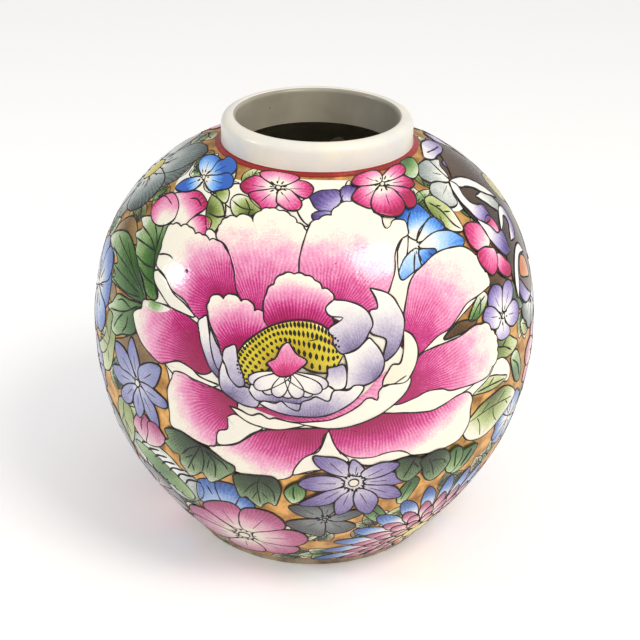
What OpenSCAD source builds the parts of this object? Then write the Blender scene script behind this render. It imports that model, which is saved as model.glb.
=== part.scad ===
// Ginger jar without its lid: a round porcelain jar with a short collar neck and a turned foot.
// The clay sections are luted together edge to edge: foot ring, lower body, upper body and neck
// collar. A red enamel line is painted over the joint of neck and shoulder.
// Origin: centre of the foot, on the table. +Z is up, along the axis that the jar was thrown on.

/* [Body] */
// Diameter of the belly at its widest
belly_d = 160; // [120:1:200]
// Height of the widest point above the table
belly_z = 79; // [60:1:100]
// Height of the line where the shoulder meets the neck
shoulder_z = 147; // [120:1:180]
// Fall of the shoulder where it leaves the neck, in degrees
shoulder_slope = 19; // [5:1:35]
// Lean of the wall where it meets the foot, in degrees above the table
foot_slope = 54; // [45:1:80]
// Thickness of the wall
wall_t = 5; // [3:0.5:7]
// Thickness of the floor
floor_t = 6; // [4:0.5:10]
// Radius of the inside corner between wall and floor
floor_round = 12; // [6:1:16]

/* [Neck] */
// Outside diameter of the neck, which a cap lid slides over
neck_d = 66.8; // [50:0.2:84]
// Thickness of the neck's wall
neck_wall = 5.1; // [3:0.1:7]
// Height of the neck above the shoulder line
neck_h = 9.8; // [7:0.2:20]
// Radius of the smoothed joint between neck and shoulder
neck_fillet = 1.2; // [0.6:0.1:2]

/* [Foot] */
// Outside diameter of the foot ring
foot_d = 93; // [70:1:116]
// Height of the foot ring
foot_h = 4; // [2:0.5:8]
// Thickness of the foot ring
foot_wall = 5; // [3:0.5:8]
// Ledge by which the body stands out over the foot ring
foot_ledge = 2.3; // [1:0.1:4]
// Bevel on the foot ring's two lower edges
foot_bevel = 0.8; // [0.4:0.1:1]

/* [Painted line] */
// Width of the red line down the shoulder
line_w = 1.5; // [0.8:0.1:2]
// Thickness of the fired enamel
line_t = 0.25; // [0.15:0.05:0.5]

/* [Hidden] */

belly_r = belly_d / 2;
neck_r = neck_d / 2;
foot_r = foot_d / 2;
mouth_r = neck_r - neck_wall;
rim_z = shoulder_z + neck_h;
floor_z = foot_h + floor_t;
shoulder_r = neck_r + neck_fillet; // where the shoulder's curve ends, under the fillet
heel_r = foot_r + foot_ledge;      // where the body's curve ends, over the foot

// How full the outline is at each end of its two curves, as a share of the curve's height or width
belly_full_up = 0.61;
shoulder_full = 0.55;
belly_full_down = 0.55;
heel_full = 0.50;

// The lip is rounded more outside than inside, and the rounds never meet
lip_out = min(3.2, 0.62 * neck_wall);
lip_in = min(1.6, 0.31 * neck_wall);

wall_steps = 24; // straight bands along each curve of the wall
round_steps = 8; // straight bands along a rounded edge
line_step = 3;   // band of the neck's fillet at which the painted line starts
seams = 120;     // $fn of the turned forms

function bezier(p, t) =
    pow(1 - t, 3) * p[0] + 3 * pow(1 - t, 2) * t * p[1]
    + 3 * (1 - t) * t * t * p[2] + pow(t, 3) * p[3];

function heading(p, t) =
    let (d = pow(1 - t, 2) * (p[1] - p[0]) + 2 * (1 - t) * t * (p[2] - p[1]) + t * t * (p[3] - p[2]))
    d / norm(d);

// Points along a curve, moved off it by a distance to the right of its heading
function along(p, off = 0) = [
    for (i = [0 : wall_steps])
        let (t = i / wall_steps, h = heading(p, t))
        bezier(p, t) + off * [h[1], -h[0]]
];

// Points of a rounded edge about a centre, in degrees
function arc(centre, rx, ry, from, to) = [
    for (i = [0 : round_steps])
        let (a = from + (to - from) * i / round_steps)
        centre + [rx * cos(a), ry * sin(a)]
];

function reversed(list) = [for (i = [len(list) - 1 : -1 : 0]) list[i]];

// Outside of the upper body, from the belly up to the neck
shoulder_curve = [
    [belly_r, belly_z],
    [belly_r, belly_z + belly_full_up * (shoulder_z - belly_z)],
    [shoulder_r, shoulder_z]
        + shoulder_full * (belly_r - shoulder_r) * [cos(shoulder_slope), -sin(shoulder_slope)],
    [shoulder_r, shoulder_z]
];

// Outside of the lower body, from the foot up to the belly
heel_curve = [
    [heel_r, foot_h],
    [heel_r, foot_h] + heel_full * (belly_r - heel_r) * [cos(foot_slope), sin(foot_slope)],
    [belly_r, belly_z - belly_full_down * (belly_z - foot_h)],
    [belly_r, belly_z]
];

// Inside of the upper body, which ends at the throat, under the mouth
upper_inside = along(shoulder_curve, -wall_t);
throat = upper_inside[wall_steps];
throat_z = throat[1] + (throat[0] - mouth_r) * tan(shoulder_slope);

// Inside of the lower body, rounded into the flat floor
lower_inside = [for (p = along(heel_curve, -wall_t)) if (p[1] > floor_z + floor_round) p];
floor_corner = [lower_inside[0][0] - 0.4 * floor_round, floor_z];
floor_edge = floor_corner - [floor_round, 0];
floor_curve = [floor_edge, floor_corner, floor_corner, lower_inside[0]];

// Fillet between neck and shoulder, from the neck down
neck_round = arc([shoulder_r, shoulder_z + neck_fillet], neck_fillet, neck_fillet, 180, 270);

// The painted line: the surface that it covers, from the fillet down to the shoulder's first band
line_top = [for (i = [line_step : round_steps]) neck_round[i]];
first_band = along(shoulder_curve)[wall_steps - 1] - [shoulder_r, shoulder_z];
line_foot = [shoulder_r, shoulder_z] + line_w * first_band / norm(first_band);
line_off = line_t * [sin(shoulder_slope), cos(shoulder_slope)];

module turned(outline) {
    rotate_extrude($fn = seams) polygon(outline);
}

// Unglazed ring that the jar stands on
module foot_ring() {
    inner = foot_r - foot_wall;
    color("tan") turned([
        [inner, foot_h],
        [inner, foot_bevel],
        [inner + foot_bevel, 0],
        [foot_r - foot_bevel, 0],
        [foot_r, foot_bevel],
        [foot_r, foot_h]
    ]);
}

// Bowl with the floor, up to the seam at the belly
module lower_body() {
    color("mistyrose") turned(concat(
        [[0, foot_h]],
        along(heel_curve),
        reversed(lower_inside),
        reversed([for (i = [0 : round_steps - 1]) bezier(floor_curve, i / round_steps)]),
        [[0, floor_z]]
    ));
}

// Dome from the seam at the belly to the flat seat under the neck
module upper_body() {
    color("mistyrose") turned(concat(
        along(shoulder_curve),
        [[mouth_r, shoulder_z], [mouth_r, throat_z]],
        reversed(upper_inside)
    ));
}

// Collar with a rounded lip, its foot smoothed into the shoulder
module neck_collar() {
    color("ivory") turned(concat(
        [[mouth_r, shoulder_z]],
        reversed(neck_round),
        arc([neck_r - lip_out, rim_z - lip_out], lip_out, lip_out, 0, 90),
        arc([mouth_r + lip_in, rim_z - lip_in], lip_in, lip_in, 90, 180)
    ));
}

// Band of red enamel over the joint of neck and shoulder
module red_neck_line() {
    color("firebrick") turned(concat(
        line_top,
        [line_foot, line_foot + line_off],
        reversed([for (p = line_top) p + line_off])
    ));
}

foot_ring();
lower_body();
upper_body();
neck_collar();
red_neck_line();
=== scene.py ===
"""Ginger jar: thrown porcelain, glazed white, painted all over with enamel flowers on a gilt ground.

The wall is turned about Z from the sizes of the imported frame. Every flower and leaf is painted on it
as on the real jar: coats of enamel laid one over the other, with dark outlines drawn on top.
Lengths here are millimetres on the jar unless a name says otherwise; Blender gets metres.
"""
import logging
import math
from dataclasses import dataclass, field
from enum import Enum

import bpy
import numpy as np
from mathutils import Matrix, Vector


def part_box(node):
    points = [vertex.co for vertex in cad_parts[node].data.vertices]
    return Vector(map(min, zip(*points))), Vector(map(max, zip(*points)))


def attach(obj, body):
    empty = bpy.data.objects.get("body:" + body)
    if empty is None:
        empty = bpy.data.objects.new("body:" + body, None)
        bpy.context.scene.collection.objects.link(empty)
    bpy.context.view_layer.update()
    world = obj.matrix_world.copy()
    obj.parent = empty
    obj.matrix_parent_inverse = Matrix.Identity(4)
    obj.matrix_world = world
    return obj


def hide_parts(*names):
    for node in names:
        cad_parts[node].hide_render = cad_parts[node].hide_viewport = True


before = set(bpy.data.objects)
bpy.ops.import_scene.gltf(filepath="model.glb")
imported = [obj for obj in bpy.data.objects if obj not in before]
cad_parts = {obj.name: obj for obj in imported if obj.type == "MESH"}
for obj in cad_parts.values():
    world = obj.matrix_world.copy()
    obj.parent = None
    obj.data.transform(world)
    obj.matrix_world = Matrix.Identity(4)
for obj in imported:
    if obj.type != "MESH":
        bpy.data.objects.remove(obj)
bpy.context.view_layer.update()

MM = 0.001
FINE_STEP = 0.3  # distance between the points of a curve before it is cut evenly
LOG = logging.getLogger("ginger_jar")

Point = tuple[float, float]
Points = tuple[Point, ...]


# ---------------------------------------------------------------- finishes

def linear(hex_colour: str) -> tuple[float, float, float, float]:
    """Turns an sRGB hex colour into the linear colour that a shader takes.

    Args:
        hex_colour: a colour such as "#F6F1E6".

    Returns:
        Linear red, green and blue, and an alpha of 1.
    """
    parts = [int(hex_colour[i:i + 2], 16) / 255 for i in (1, 3, 5)]
    light = [p / 12.92 if p <= 0.04045 else ((p + 0.055) / 1.055) ** 2.4 for p in parts]
    return (*light, 1.0)


def add_node(tree: bpy.types.NodeTree, kind: str, inputs: dict | None = None,
             stops: list | None = None, **settings) -> bpy.types.Node:
    """Adds a shader node with its settings and links.

    Args:
        tree: the material's node tree.
        kind: the node's type without its "ShaderNode" prefix.
        inputs: values or sockets, by the input's name or number.
        stops: (place, hex colour) pairs of a colour ramp.
        settings: the node's own properties.

    Returns:
        The new node.
    """
    node = tree.nodes.new("ShaderNode" + kind)
    for name, value in settings.items():
        setattr(node, name, value)
    for name, value in (inputs or {}).items():
        if isinstance(value, bpy.types.NodeSocket):
            tree.links.new(value, node.inputs[name])
        else:
            node.inputs[name].default_value = value
    if stops:
        ramp = node.color_ramp.elements
        for element, (place, colour) in zip(list(ramp), stops):
            element.position = place
            element.color = linear(colour)
        for place, colour in stops[2:]:
            ramp.new(place).color = linear(colour)
    return node


def new_material(name: str) -> tuple[bpy.types.Material, bpy.types.NodeTree]:
    """Makes an empty material.

    Args:
        name: the finish's name.

    Returns:
        The material and its node tree.
    """
    material = bpy.data.materials.new(name)
    material.use_nodes = True
    tree = material.node_tree
    tree.nodes.clear()
    return material, tree


@dataclass(frozen=True)
class Glaze:
    """Clear feldspar glaze on white porcelain: glossy, faintly dimpled, with a few iron specks."""

    name: str
    body: str = "#F5F0E4"
    pooled: str = "#E4E5E2"
    speck: str = "#6B5A4A"
    mottle_mm: float = 22.0
    dimple_mm: float = 1.3
    speck_mm: float = 9.0
    roughness: float = 0.3

    def material(self) -> bpy.types.Material:
        """Builds the finish: glaze that pools slightly blue, orange-peel dimples and pinholes.

        Returns:
            The new material.
        """
        made, tree = new_material(self.name)
        place = add_node(tree, "TexCoord").outputs["Object"]
        cloud = add_node(tree, "TexNoise", {"Vector": place, "Scale": 1 / (self.mottle_mm * MM),
                                            "Detail": 3.0})
        body = add_node(tree, "ValToRGB", {"Fac": cloud.outputs["Fac"]},
                        stops=[(0.35, self.pooled), (0.65, self.body)])
        cells = add_node(tree, "TexVoronoi", {"Vector": place, "Scale": 1 / (self.speck_mm * MM)})
        spots = add_node(tree, "ValToRGB", {"Fac": cells.outputs["Distance"]},
                         stops=[(0.03, "#FFFFFF"), (0.05, "#000000")])
        colour = add_node(tree, "Mix", {0: spots.outputs["Color"], 6: body.outputs["Color"],
                                        7: linear(self.speck)}, data_type="RGBA")
        peel = add_node(tree, "TexNoise", {"Vector": place, "Scale": 1 / (self.dimple_mm * MM),
                                           "Detail": 1.0})
        bump = add_node(tree, "Bump", {"Height": peel.outputs["Fac"], "Strength": 0.35,
                                       "Distance": 0.00012})
        shader = add_node(tree, "BsdfPrincipled", {
            "Base Color": colour.outputs[2], "Roughness": self.roughness, "IOR": 1.5,
            "Normal": bump.outputs["Normal"]})
        add_node(tree, "OutputMaterial", {"Surface": shader.outputs["BSDF"]})
        return made


@dataclass(frozen=True)
class Mottled:
    """A fired surface of two shades in soft patches, with a fine grain where it has one."""

    name: str
    darker: str
    whole: str
    patch_mm: float
    stops: tuple[float, float]
    rough: tuple[float, float]
    detail: float = 4.0
    grain_mm: float = 0.0
    grain_depth_mm: float = 0.1
    grain_strength: float = 0.5
    metallic: float = 0.0

    def material(self) -> bpy.types.Material:
        """Builds the finish: patches that change the colour and the shine, and the grain.

        Returns:
            The new material.
        """
        made, tree = new_material(self.name)
        place = add_node(tree, "TexCoord").outputs["Object"]
        patch = add_node(tree, "TexNoise", {"Vector": place, "Scale": 1 / (self.patch_mm * MM),
                                            "Detail": self.detail})
        colour = add_node(tree, "ValToRGB", {"Fac": patch.outputs["Fac"]},
                          stops=list(zip(self.stops, (self.darker, self.whole))))
        inputs = {"Base Color": colour.outputs["Color"], "Metallic": self.metallic,
                  "Roughness": self.rough[0]}
        if self.rough[0] != self.rough[1]:
            shine = add_node(tree, "MapRange", {"Value": patch.outputs["Fac"],
                                                "To Min": self.rough[0], "To Max": self.rough[1]})
            inputs["Roughness"] = shine.outputs["Result"]
        if self.grain_mm:
            grain = add_node(tree, "TexNoise", {"Vector": place, "Scale": 1 / (self.grain_mm * MM)})
            bump = add_node(tree, "Bump", {"Height": grain.outputs["Fac"],
                                           "Strength": self.grain_strength,
                                           "Distance": self.grain_depth_mm * MM})
            inputs["Normal"] = bump.outputs["Normal"]
        shader = add_node(tree, "BsdfPrincipled", inputs)
        add_node(tree, "OutputMaterial", {"Surface": shader.outputs["BSDF"]})
        return made


@dataclass(frozen=True)
class Enamel:
    """Overglaze enamel: glassy colour brushed over opaque white, in fine strokes that fade out.

    The map's V runs from the deepest colour at 0 to bare white at 1, and U counts millimetres
    across the brush strokes.
    """

    name: str
    deep: str
    middle: str
    pale: str
    bare: str = "#F8F1DE"
    hairs: float = 0.18
    hair_mm: float = 1.15
    grain: float = 0.10

    def material(self) -> bpy.types.Material:
        """Builds the finish: a graded wash with brush hairs, pigment grain and a glassy skin.

        Returns:
            The new material.
        """
        made, tree = new_material(self.name)
        coords = add_node(tree, "TexCoord")
        across = add_node(tree, "SeparateXYZ", {"Vector": coords.outputs["UV"]})
        wander = add_node(tree, "TexNoise", {"Vector": coords.outputs["Object"],
                                             "Scale": 1 / (6 * MM), "Detail": 1.0})
        drift = add_node(tree, "MapRange", {"Value": wander.outputs["Fac"], "To Min": -0.9,
                                            "To Max": 0.9})
        column = add_node(tree, "Math", {0: across.outputs["X"], 1: drift.outputs["Result"]},
                          operation="ADD")
        phase = add_node(tree, "Math", {0: column.outputs[0], 1: 2 * math.pi / self.hair_mm},
                         operation="MULTIPLY")
        comb = add_node(tree, "Math", {0: phase.outputs[0]}, operation="SINE")
        grain = add_node(tree, "TexNoise", {"Vector": coords.outputs["Object"],
                                            "Scale": 1 / (0.55 * MM), "Detail": 2.0})
        wash = add_node(tree, "TexNoise", {"Vector": coords.outputs["Object"],
                                           "Scale": 1 / (5 * MM), "Detail": 2.0})
        # Hairs show only where there is colour, so their strength falls towards the bare white.
        fading = add_node(tree, "MapRange", {"Value": across.outputs["Y"], "From Min": 0.0,
                                             "From Max": 0.85, "To Min": self.hairs,
                                             "To Max": 0.0})
        hair = add_node(tree, "Math", {0: comb.outputs[0], 1: fading.outputs["Result"]},
                        operation="MULTIPLY")
        with_hair = add_node(tree, "Math", {0: across.outputs["Y"], 1: hair.outputs[0]},
                             operation="ADD")
        speckle = add_node(tree, "MapRange", {"Value": grain.outputs["Fac"], "From Min": 0.25,
                                              "From Max": 0.75, "To Min": -self.grain,
                                              "To Max": self.grain})
        with_grain = add_node(tree, "Math", {0: with_hair.outputs[0],
                                             1: speckle.outputs["Result"]}, operation="ADD")
        uneven = add_node(tree, "MapRange", {"Value": wash.outputs["Fac"], "From Min": 0.25,
                                             "From Max": 0.75, "To Min": -0.09, "To Max": 0.09})
        depth = add_node(tree, "Math", {0: with_grain.outputs[0], 1: uneven.outputs["Result"]},
                         operation="ADD")
        colour = add_node(tree, "ValToRGB", {"Fac": depth.outputs[0]},
                          stops=[(0.02, self.deep), (0.34, self.middle), (0.68, self.pale),
                                 (0.96, self.bare)])
        peel = add_node(tree, "TexNoise", {"Vector": coords.outputs["Object"],
                                           "Scale": 1 / (1.2 * MM), "Detail": 1.0})
        relief = add_node(tree, "Math", {0: hair.outputs[0], 1: 0.8, 2: peel.outputs["Fac"]},
                          operation="MULTIPLY_ADD")
        bump = add_node(tree, "Bump", {"Height": relief.outputs[0], "Strength": 0.4,
                                       "Distance": 0.00012})
        shader = add_node(tree, "BsdfPrincipled", {
            "Base Color": colour.outputs["Color"], "Roughness": 0.17, "IOR": 1.5,
            "Normal": bump.outputs["Normal"]})
        add_node(tree, "OutputMaterial", {"Surface": shader.outputs["BSDF"]})
        return made


class Paint(Enum):
    """The finishes that the jar is decorated with."""

    NECK = Glaze("neck_glaze", body="#EFE8D6", pooled="#DEDDDA", mottle_mm=14.0, speck_mm=13.0)
    # The inside: the same white glaze, painted dark grey-beige as the shade inside the jar and under its
    # floor.
    INSIDE = Glaze("shaded_inside_glaze", body="#B5AE9C", pooled="#9A9484", mottle_mm=25.0)
    # Fired gold, brushed on and burnished: a soft metal shine, worn thin and dull in places.
    GOLD = Mottled("gold_ground", "#966A38", "#E4B068", 5.0, (0.32, 0.62), (0.6, 0.28),
                   grain_mm=0.5, grain_depth_mm=0.08, grain_strength=0.4, metallic=0.75)
    # Bare porcelain, wiped clean before firing: matt and sandy, painted dark brown-grey as the shade on the
    # foot under the belly.
    SHADED_BISCUIT = Mottled("shaded_biscuit_porcelain", "#6E5A45", "#B9A58A", 7.0, (0.35, 0.62), (0.8, 0.8),
                      grain_mm=0.35, grain_strength=0.6)
    # Manganese black, drawn with a pointed brush: dark brown where the line runs thin.
    LINE = Mottled("black_line", "#140C10", "#261618", 3.0, (0.4, 0.72), (0.5, 0.8), detail=3.0)
    RED = Enamel("iron_red", "#900C02", "#CC2A0A", "#D8421E", bare="#D65A38", hairs=0.06)
    ROSE = Enamel("rose_enamel", "#9A084C", "#CE3C88", "#F0A2C4")
    CERISE = Enamel("cerise_enamel", "#A60A48", "#DA4688", "#F2A4C4", hairs=0.08)
    VIOLET = Enamel("violet_enamel", "#4C3A78", "#8372B0", "#C3B8DC", bare="#F4F1EC", hairs=0.07)
    BLUE = Enamel("blue_enamel", "#2B62BE", "#5D9DEA", "#B7D8F8", hairs=0.07)
    DEEP_BLUE = Enamel("deep_blue_enamel", "#22468C", "#4A76BC", "#A3BBDD", bare="#EEE9DE",
                       hairs=0.08)
    GREEN = Enamel("green_enamel", "#28501C", "#527C3C", "#98B478", bare="#EEF0DC", hairs=0.1)
    DARK_GREEN = Enamel("dark_green_enamel", "#1B2A14", "#3A5230", "#7C9468", bare="#D9D8C0",
                        hairs=0.1)
    OLIVE = Enamel("olive_enamel", "#4C5A1E", "#87984A", "#BEC98A", bare="#EFECD6", hairs=0.1)
    GREY = Enamel("grey_enamel", "#38403E", "#74807C", "#B4BCB7", bare="#F0F0E8", hairs=0.1)
    SLATE = Enamel("slate_enamel", "#2B2E30", "#565B5C", "#8E9290", bare="#CFCDC4", hairs=0.1)
    YELLOW = Enamel("yellow_enamel", "#A9841A", "#D2BE26", "#E2D452", bare="#EFE8A8", hairs=0.05)
    PERIWINKLE = Enamel("periwinkle_enamel", "#47467E", "#7072A8", "#A2A5C8", bare="#E4E4EE",
                        hairs=0.08)
    MAUVE = Enamel("mauve_enamel", "#4B3A66", "#74629A", "#A69ABF", bare="#DDD6DA", hairs=0.08)
    OLD_ROSE = Enamel("old_rose_enamel", "#8A2852", "#B65082", "#DCA6B8", bare="#E8DCCB",
                      hairs=0.08)
    LAVENDER = Enamel("lavender_enamel", "#66587E", "#A49AB8", "#DAD2DA", bare="#F4EEE6",
                      hairs=0.06)
    ORANGE = Enamel("orange_enamel", "#8A3A12", "#C8702A", "#E0A25A", bare="#F0DDB0", hairs=0.08)
    WHITE = Enamel("white_enamel", "#D9CCAC", "#EBE0C6", "#F3EBD8", bare="#F6F0E0", hairs=0.03,
                   grain=0.06)
    # Dark brown enamel for leaves and grounds; at the jar's left edge its dabs are painted shade and dark
    # reflection on the gilt ground.
    BROWN = Enamel("brown_enamel_and_shade", "#2B1C0C", "#4A3216", "#7A5A30", bare="#A98C58", hairs=0.1)


class Palette:
    """The materials, each made once when it is first asked for."""

    def __init__(self) -> None:
        """Starts with no material made."""
        self.made: dict[Paint, bpy.types.Material] = {}

    def get(self, paint: Paint) -> bpy.types.Material:
        """Gives a paint's material."""
        if paint not in self.made:
            self.made[paint] = paint.value.material()
        return self.made[paint]


PALETTE = Palette()


# ---------------------------------------------------------------- curves

def xy(*numbers: float) -> Points:
    """Pairs numbers up as (x, y) points."""
    return tuple(zip(numbers[::2], numbers[1::2]))


def bezier(handles: np.ndarray, steps: int) -> np.ndarray:
    """Gives points along a cubic curve.

    Args:
        handles: the curve's four control points.
        steps: how many straight bands it is cut into.

    Returns:
        steps + 1 points.
    """
    t = np.linspace(0, 1, steps + 1)[:, None]
    a, b, c, d = np.asarray(handles, float)
    return (1 - t) ** 3 * a + 3 * (1 - t) ** 2 * t * b + 3 * (1 - t) * t ** 2 * c + t ** 3 * d


def arc(centre: Point, radius: float, start: float, end: float, steps: int = 8) -> np.ndarray:
    """Gives points of a round edge, by its centre, radius and two angles in degrees."""
    angle = np.radians(np.linspace(start, end, steps + 1))
    return np.array(centre) + radius * np.column_stack([np.cos(angle), np.sin(angle)])


def run_along(curve: np.ndarray) -> np.ndarray:
    """Gives each point's distance along a curve."""
    return np.concatenate([[0], np.cumsum(np.hypot(*np.diff(curve, axis=0).T))])


def evenly(curve: np.ndarray, count: int) -> np.ndarray:
    """Cuts a curve into a count of even steps.

    Args:
        curve: points along it.
        count: how many steps.

    Returns:
        count + 1 points.
    """
    run = run_along(curve)
    at = np.linspace(0, run[-1], count + 1)
    return np.column_stack([np.interp(at, run, curve[:, 0]), np.interp(at, run, curve[:, 1])])


def unit(steps: np.ndarray) -> np.ndarray:
    """Gives steps a length of 1."""
    return steps / np.maximum(np.hypot(*steps.T), 1e-6)[:, None]


def smooth(points: Points | np.ndarray, step: float, ring: bool = False) -> np.ndarray:
    """Draws an even curve through a few points.

    Args:
        points: the points, in order. A corner is a point given twice.
        step: distance between the points of the result, about.
        ring: whether the curve returns to its start.

    Returns:
        Points along the curve, without the repeated start of a closed one.
    """
    p = np.asarray(points, float)
    if ring:
        p = np.vstack([p[-1], p, p[0], p[1]])
    else:
        p = np.vstack([2 * p[0] - p[1], p, 2 * p[-1] - p[-2]])
    t = np.linspace(0, 1, 10, endpoint=False)[:, None]
    runs = [0.5 * (2 * b + (c - a) * t + (2 * a - 5 * b + 4 * c - d) * t ** 2
                   + (3 * b - a - 3 * c + d) * t ** 3)
            for a, b, c, d in zip(p, p[1:], p[2:], p[3:])]
    fine = np.vstack([*runs, p[-2]])
    even = evenly(fine, max(3, round(run_along(fine)[-1] / step)))
    return even[:-1] if ring else even


def frilled(curve: np.ndarray, lobes: int, depth: float, seed: int = 0) -> np.ndarray:
    """Gives an open curve a frilled edge, strongest round its middle and none at its ends.

    Args:
        curve: points from one end of a petal's margin to the other.
        lobes: how many lobes the frill has.
        depth: how far the lobes stand out.
        seed: changes the lobes' widths.

    Returns:
        The frilled curve.
    """
    t = np.linspace(0, 1, len(curve))
    along = unit(np.gradient(curve, axis=0))
    out = np.column_stack([along[:, 1], -along[:, 0]])
    middle = curve[0] * 0.5 + curve[-1] * 0.5
    if ((curve - middle) * out).sum() < 0:
        out = -out
    warp = t + 0.03 * np.sin(2 * math.pi * (2.3 * t + 0.37 * seed))
    bump = np.abs(np.sin(math.pi * lobes * warp)) ** 0.7 - 0.6
    return curve + out * (depth * bump * np.sin(math.pi * t) ** 0.5)[:, None]


def area(outline: np.ndarray) -> float:
    """Gives the signed area inside a closed outline, positive when it runs anticlockwise."""
    x, y = outline.T
    return 0.5 * float((x * np.roll(y, -1) - np.roll(x, -1) * y).sum())


# ---------------------------------------------------------------- mesh tools

def deselect() -> None:
    """Leaves nothing selected."""
    bpy.ops.object.select_all(action="DESELECT")


def only(piece: bpy.types.Object) -> None:
    """Makes one piece the only one selected, and active.

    Args:
        piece: the section.
    """
    deselect()
    piece.select_set(True)
    bpy.context.view_layer.objects.active = piece


def turned(name: str, section: np.ndarray, ring: bool, steps: int = 192) -> bpy.types.Object:
    """Turns a section about Z, as on the wheel.

    Args:
        name: the piece's name.
        section: (radius, height) points in order.
        ring: whether the section is closed. An open one starts and ends on the axis.
        steps: how many flats go round.

    Returns:
        A closed mesh with its normals outwards.
    """
    deselect()
    bpy.ops.mesh.primitive_circle_add(vertices=len(section), radius=1.0)
    piece = bpy.context.object
    piece.name = piece.data.name = name
    flat = np.column_stack([section[:, 0], np.zeros(len(section)), section[:, 1]]) * MM
    piece.data.vertices.foreach_set("co", flat.ravel())
    if not ring:
        ends = {0, len(section) - 1}
        for edge in piece.data.edges:
            edge.select = set(edge.vertices) == ends
        for vertex in piece.data.vertices:
            vertex.select = False
        bpy.ops.object.mode_set(mode="EDIT")
        bpy.ops.mesh.select_mode(type="EDGE")
        bpy.ops.mesh.delete(type="EDGE_FACE")
        bpy.ops.mesh.select_mode(type="VERT")
        bpy.ops.object.mode_set(mode="OBJECT")
    bpy.ops.object.mode_set(mode="EDIT")
    bpy.ops.mesh.select_all(action="SELECT")
    bpy.ops.mesh.spin(steps=steps, angle=2 * math.pi, center=(0, 0, 0), axis=(0, 0, 1))
    bpy.ops.mesh.select_all(action="SELECT")
    bpy.ops.mesh.remove_doubles(threshold=1e-6)
    bpy.ops.mesh.dissolve_degenerate(threshold=1e-6)
    bpy.ops.mesh.normals_make_consistent(inside=False)
    bpy.ops.object.mode_set(mode="OBJECT")
    bpy.ops.object.shade_smooth_by_angle(angle=math.radians(40))
    return piece


def joined(parts: list[bpy.types.Object], name: str) -> bpy.types.Object:
    """Joins parts into one piece of that name.

    Args:
        parts: the objects.
        name: the piece's name.

    Returns:
        The piece.
    """
    deselect()
    for part in parts:
        part.select_set(True)
    bpy.context.view_layer.objects.active = parts[0]
    bpy.ops.object.join()
    piece = bpy.context.object
    piece.name = piece.data.name = name
    bpy.ops.object.shade_smooth()
    return piece


@dataclass
class Ball:
    """A ball of enamel, added once and copied: pressed flat it is a dab, drawn out it is a stroke."""

    segments: int
    rings: int
    model: bpy.types.Object = field(init=False)
    segment: np.ndarray = field(init=False)
    ring: np.ndarray = field(init=False)
    corners: np.ndarray = field(init=False)

    def __post_init__(self) -> None:
        """Adds the ball and numbers its vertices by ring, from the top, and by segment."""
        deselect()
        bpy.ops.mesh.primitive_uv_sphere_add(segments=self.segments, ring_count=self.rings,
                                             radius=1.0)
        self.model = bpy.context.object
        co = np.empty(len(self.model.data.vertices) * 3, np.float32)
        self.model.data.vertices.foreach_get("co", co)
        x, y, z = co.reshape(-1, 3).T
        down = np.arccos(np.clip(z, -1, 1)) / math.pi * self.rings
        round_it = np.arctan2(y, x) / (2 * math.pi) * self.segments
        self.ring = np.rint(down).astype(int)
        self.segment = np.rint(round_it).astype(int) % self.segments
        self.corners = np.empty(len(self.model.data.loops), np.int32)
        self.model.data.loops.foreach_get("vertex_index", self.corners)

    def copy(self, where: np.ndarray, shade: np.ndarray,
             material: bpy.types.Material) -> bpy.types.Object:
        """Copies the ball with every vertex moved.

        Args:
            where: places in metres, by ring and segment.
            shade: (hair, fade) pairs by ring and segment, for the map.
            material: the copy's material.

        Returns:
            The new object.
        """
        piece = bpy.data.objects.new("dab", self.model.data.copy())
        bpy.context.scene.collection.objects.link(piece)
        mesh = piece.data
        mesh.vertices.foreach_set("co", where[self.ring, self.segment].astype(np.float32).ravel())
        values = shade[self.ring, self.segment][self.corners]
        mesh.uv_layers.active.data.foreach_set("uv", values.astype(np.float32).ravel())
        mesh.materials.append(material)
        mesh.update()
        return piece


class Balls:
    """All the ball models, kept by their counts of segments and rings."""

    def __init__(self) -> None:
        """Starts with none."""
        self.kept: dict[tuple[int, int], Ball] = {}

    def get(self, segments: int, rings: int) -> Ball:
        """Gives the model with these counts, and adds it if it is new."""
        if (segments, rings) not in self.kept:
            self.kept[(segments, rings)] = Ball(segments, rings)
        return self.kept[(segments, rings)]

    def clear(self) -> None:
        """Removes the models once the painting is done."""
        for ball in self.kept.values():
            bpy.data.objects.remove(ball.model)
        self.kept.clear()


BALLS = Balls()


# ---------------------------------------------------------------- the thrown jar

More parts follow.
